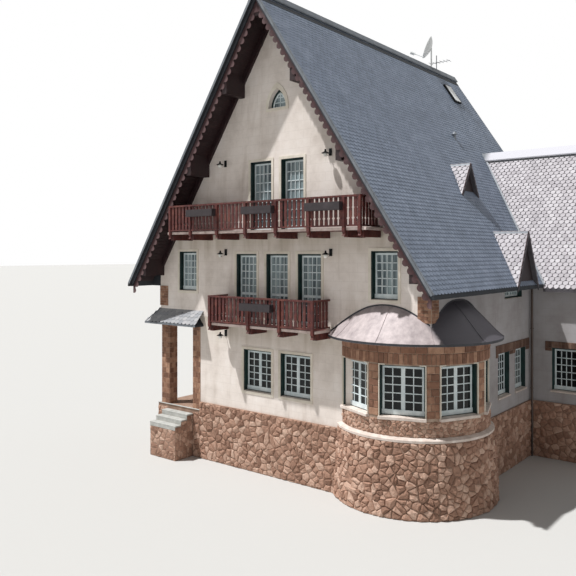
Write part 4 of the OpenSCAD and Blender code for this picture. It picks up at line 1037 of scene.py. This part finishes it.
def lamps():
    """Wall lamps: an iron plate, a swan neck, a flared shade and an opal globe."""
    iron, globes = bmesh.new(), bmesh.new()
    # How far the shade hangs in front of the wall
    y = -0.3
    for x, z in LAMPS:
        beam(iron, (x, -0.012, z - 0.12), (x, -0.012, z + 0.12), 0.12, 0.024, (0, -1, 0), 0.006)
        foot = Matrix.Translation((x, -0.02, z)) @ Matrix.Rotation(math.pi / 2, 4, "X")
        tube = bmesh.ops.create_circle(iron, segments=8, radius=0.016, cap_ends=True, matrix=foot)
        faces = list({f for v in tube["verts"] for f in v.link_faces})
        bmesh.ops.spin(iron, geom=faces, cent=(x, -0.16, z), axis=(1, 0, 0), angle=-math.pi, steps=12,
                       use_duplicate=False)
        # The shade's section: distances from the lamp's axis, and heights
        section = [(0.025, 0.09), (0.035, 0.02), (0.13, -0.03), (0.128, -0.042), (0.03, 0.008)]
        verts = [iron.verts.new((x + r, y, z + h - 0.03)) for r, h in section]
        rim = [iron.edges.new(pair) for pair in zip(verts, verts[1:] + verts[:1])]
        bmesh.ops.spin(iron, geom=verts + rim, cent=(x, y, z), axis=(0, 0, 1), angle=math.tau, steps=24,
                       use_merge=True)
        bulb = Matrix.Translation((x, y, z - 0.115)) @ Matrix.Diagonal((1, 1, 1.1, 1))
        bmesh.ops.create_uvsphere(globes, u_segments=20, v_segments=12, radius=0.07, matrix=bulb)
    bmesh.ops.recalc_face_normals(iron, faces=iron.faces)
    for face in globes.faces:
        face.smooth = True
    piece("lamp_ironwork", iron, IRON, stands_for="wall_lamps")
    piece("lamp_globes", globes, OPAL)


def small_fittings():
    """The skylight's pane, white as a painted reflection of the sky, and the entrance door's handle on its plate.
    """
    pane = bmesh.new()
    down, off = Vector((RUN, 0, -DROP)), Vector((DROP, 0, RUN))
    middle = Vector((0.84, 12.24, main_height(0.84))) + off * 0.114
    beam(pane, middle - down * 0.475, middle + down * 0.475, 0.55, 0.012, off)
    piece("skylight_pane", pane, LIGHT_METAL)
    iron = bmesh.new()
    beam(iron, (-4.42, 2.905, 2.78), (-4.42, 2.905, 2.98), 0.035, 0.012, (0, -1, 0), 0.003)
    beam(iron, (-4.42, 2.87, 2.9), (-4.53, 2.87, 2.9), 0.022, 0.022, (0, -1, 0), 0.005)
    beam(iron, (-4.42, 2.9, 2.9), (-4.42, 2.86, 2.9), 0.022, 0.022, (0, 0, 1), 0.005)
    piece("door_handle", iron, IRON)


for part in (main_slates, wing_slates, dormer_slates, porch_slates, roof_trim, joinery, bay_blocks, bay_stones,
             plinth_stones, flat_brickwork, bay_roof_trim, balcony_trim, lamps, small_fittings):
    part()

# Floor, light and camera
ground = bpy.data.meshes.new("ground")
bm = bmesh.new()
bmesh.ops.create_grid(bm, x_segments=1, y_segments=1, size=400)
bm.to_mesh(ground)
bm.free()
floor = bpy.data.objects.new("ground", ground)
bpy.context.scene.collection.objects.link(floor)
pale, _, shader, _ = finish_for("pale_floor", 0.95)
shader.inputs["Base Color"].default_value = linear("#c2c1be")
ground.materials.append(pale)

# White where the camera, a gloss or a pane looks past the house, and a dim even sky on the house itself
world = bpy.data.worlds.new("studio")
world.use_nodes = True
bpy.context.scene.world = world
tree = world.node_tree
seen = add(tree, "LightPath").node.outputs
rays = seen["Is Camera Ray"]
for other in ("Is Glossy Ray", "Is Transmission Ray"):
    rays = add(tree, "Math", links={0: rays, 1: seen[other]}, operation="MAXIMUM")
strength = add(tree, "MapRange", {"To Min": 0.28, "To Max": 1.0}, {"Value": rays})
sky = tree.nodes["Background"]
sky.inputs["Color"].default_value = (1.0, 1.0, 1.0, 1.0)
tree.links.new(strength, sky.inputs["Strength"])

lamp = bpy.data.lights.new("key", "SUN")
lamp.energy = 4.4
lamp.angle = math.radians(1.2)
sun = bpy.data.objects.new("key", lamp)
bpy.context.scene.collection.objects.link(sun)
sun.rotation_euler = Vector((-0.311, -0.321, 0.894)).to_track_quat("Z", "Y").to_euler()

lens = bpy.data.cameras.new("view")
lens.lens, lens.sensor_width = 43.0, 36.0
lens.shift_y = -34.375 / 576
lens.clip_end = 2000
camera = bpy.data.objects.new("view", lens)
camera.location = (15.376, -18.475, 7.8)
camera.rotation_euler = (math.radians(90), 0, math.radians(38.692))
bpy.context.scene.collection.objects.link(camera)
bpy.context.scene.camera = camera
bpy.context.scene.view_settings.view_transform = "Standard"
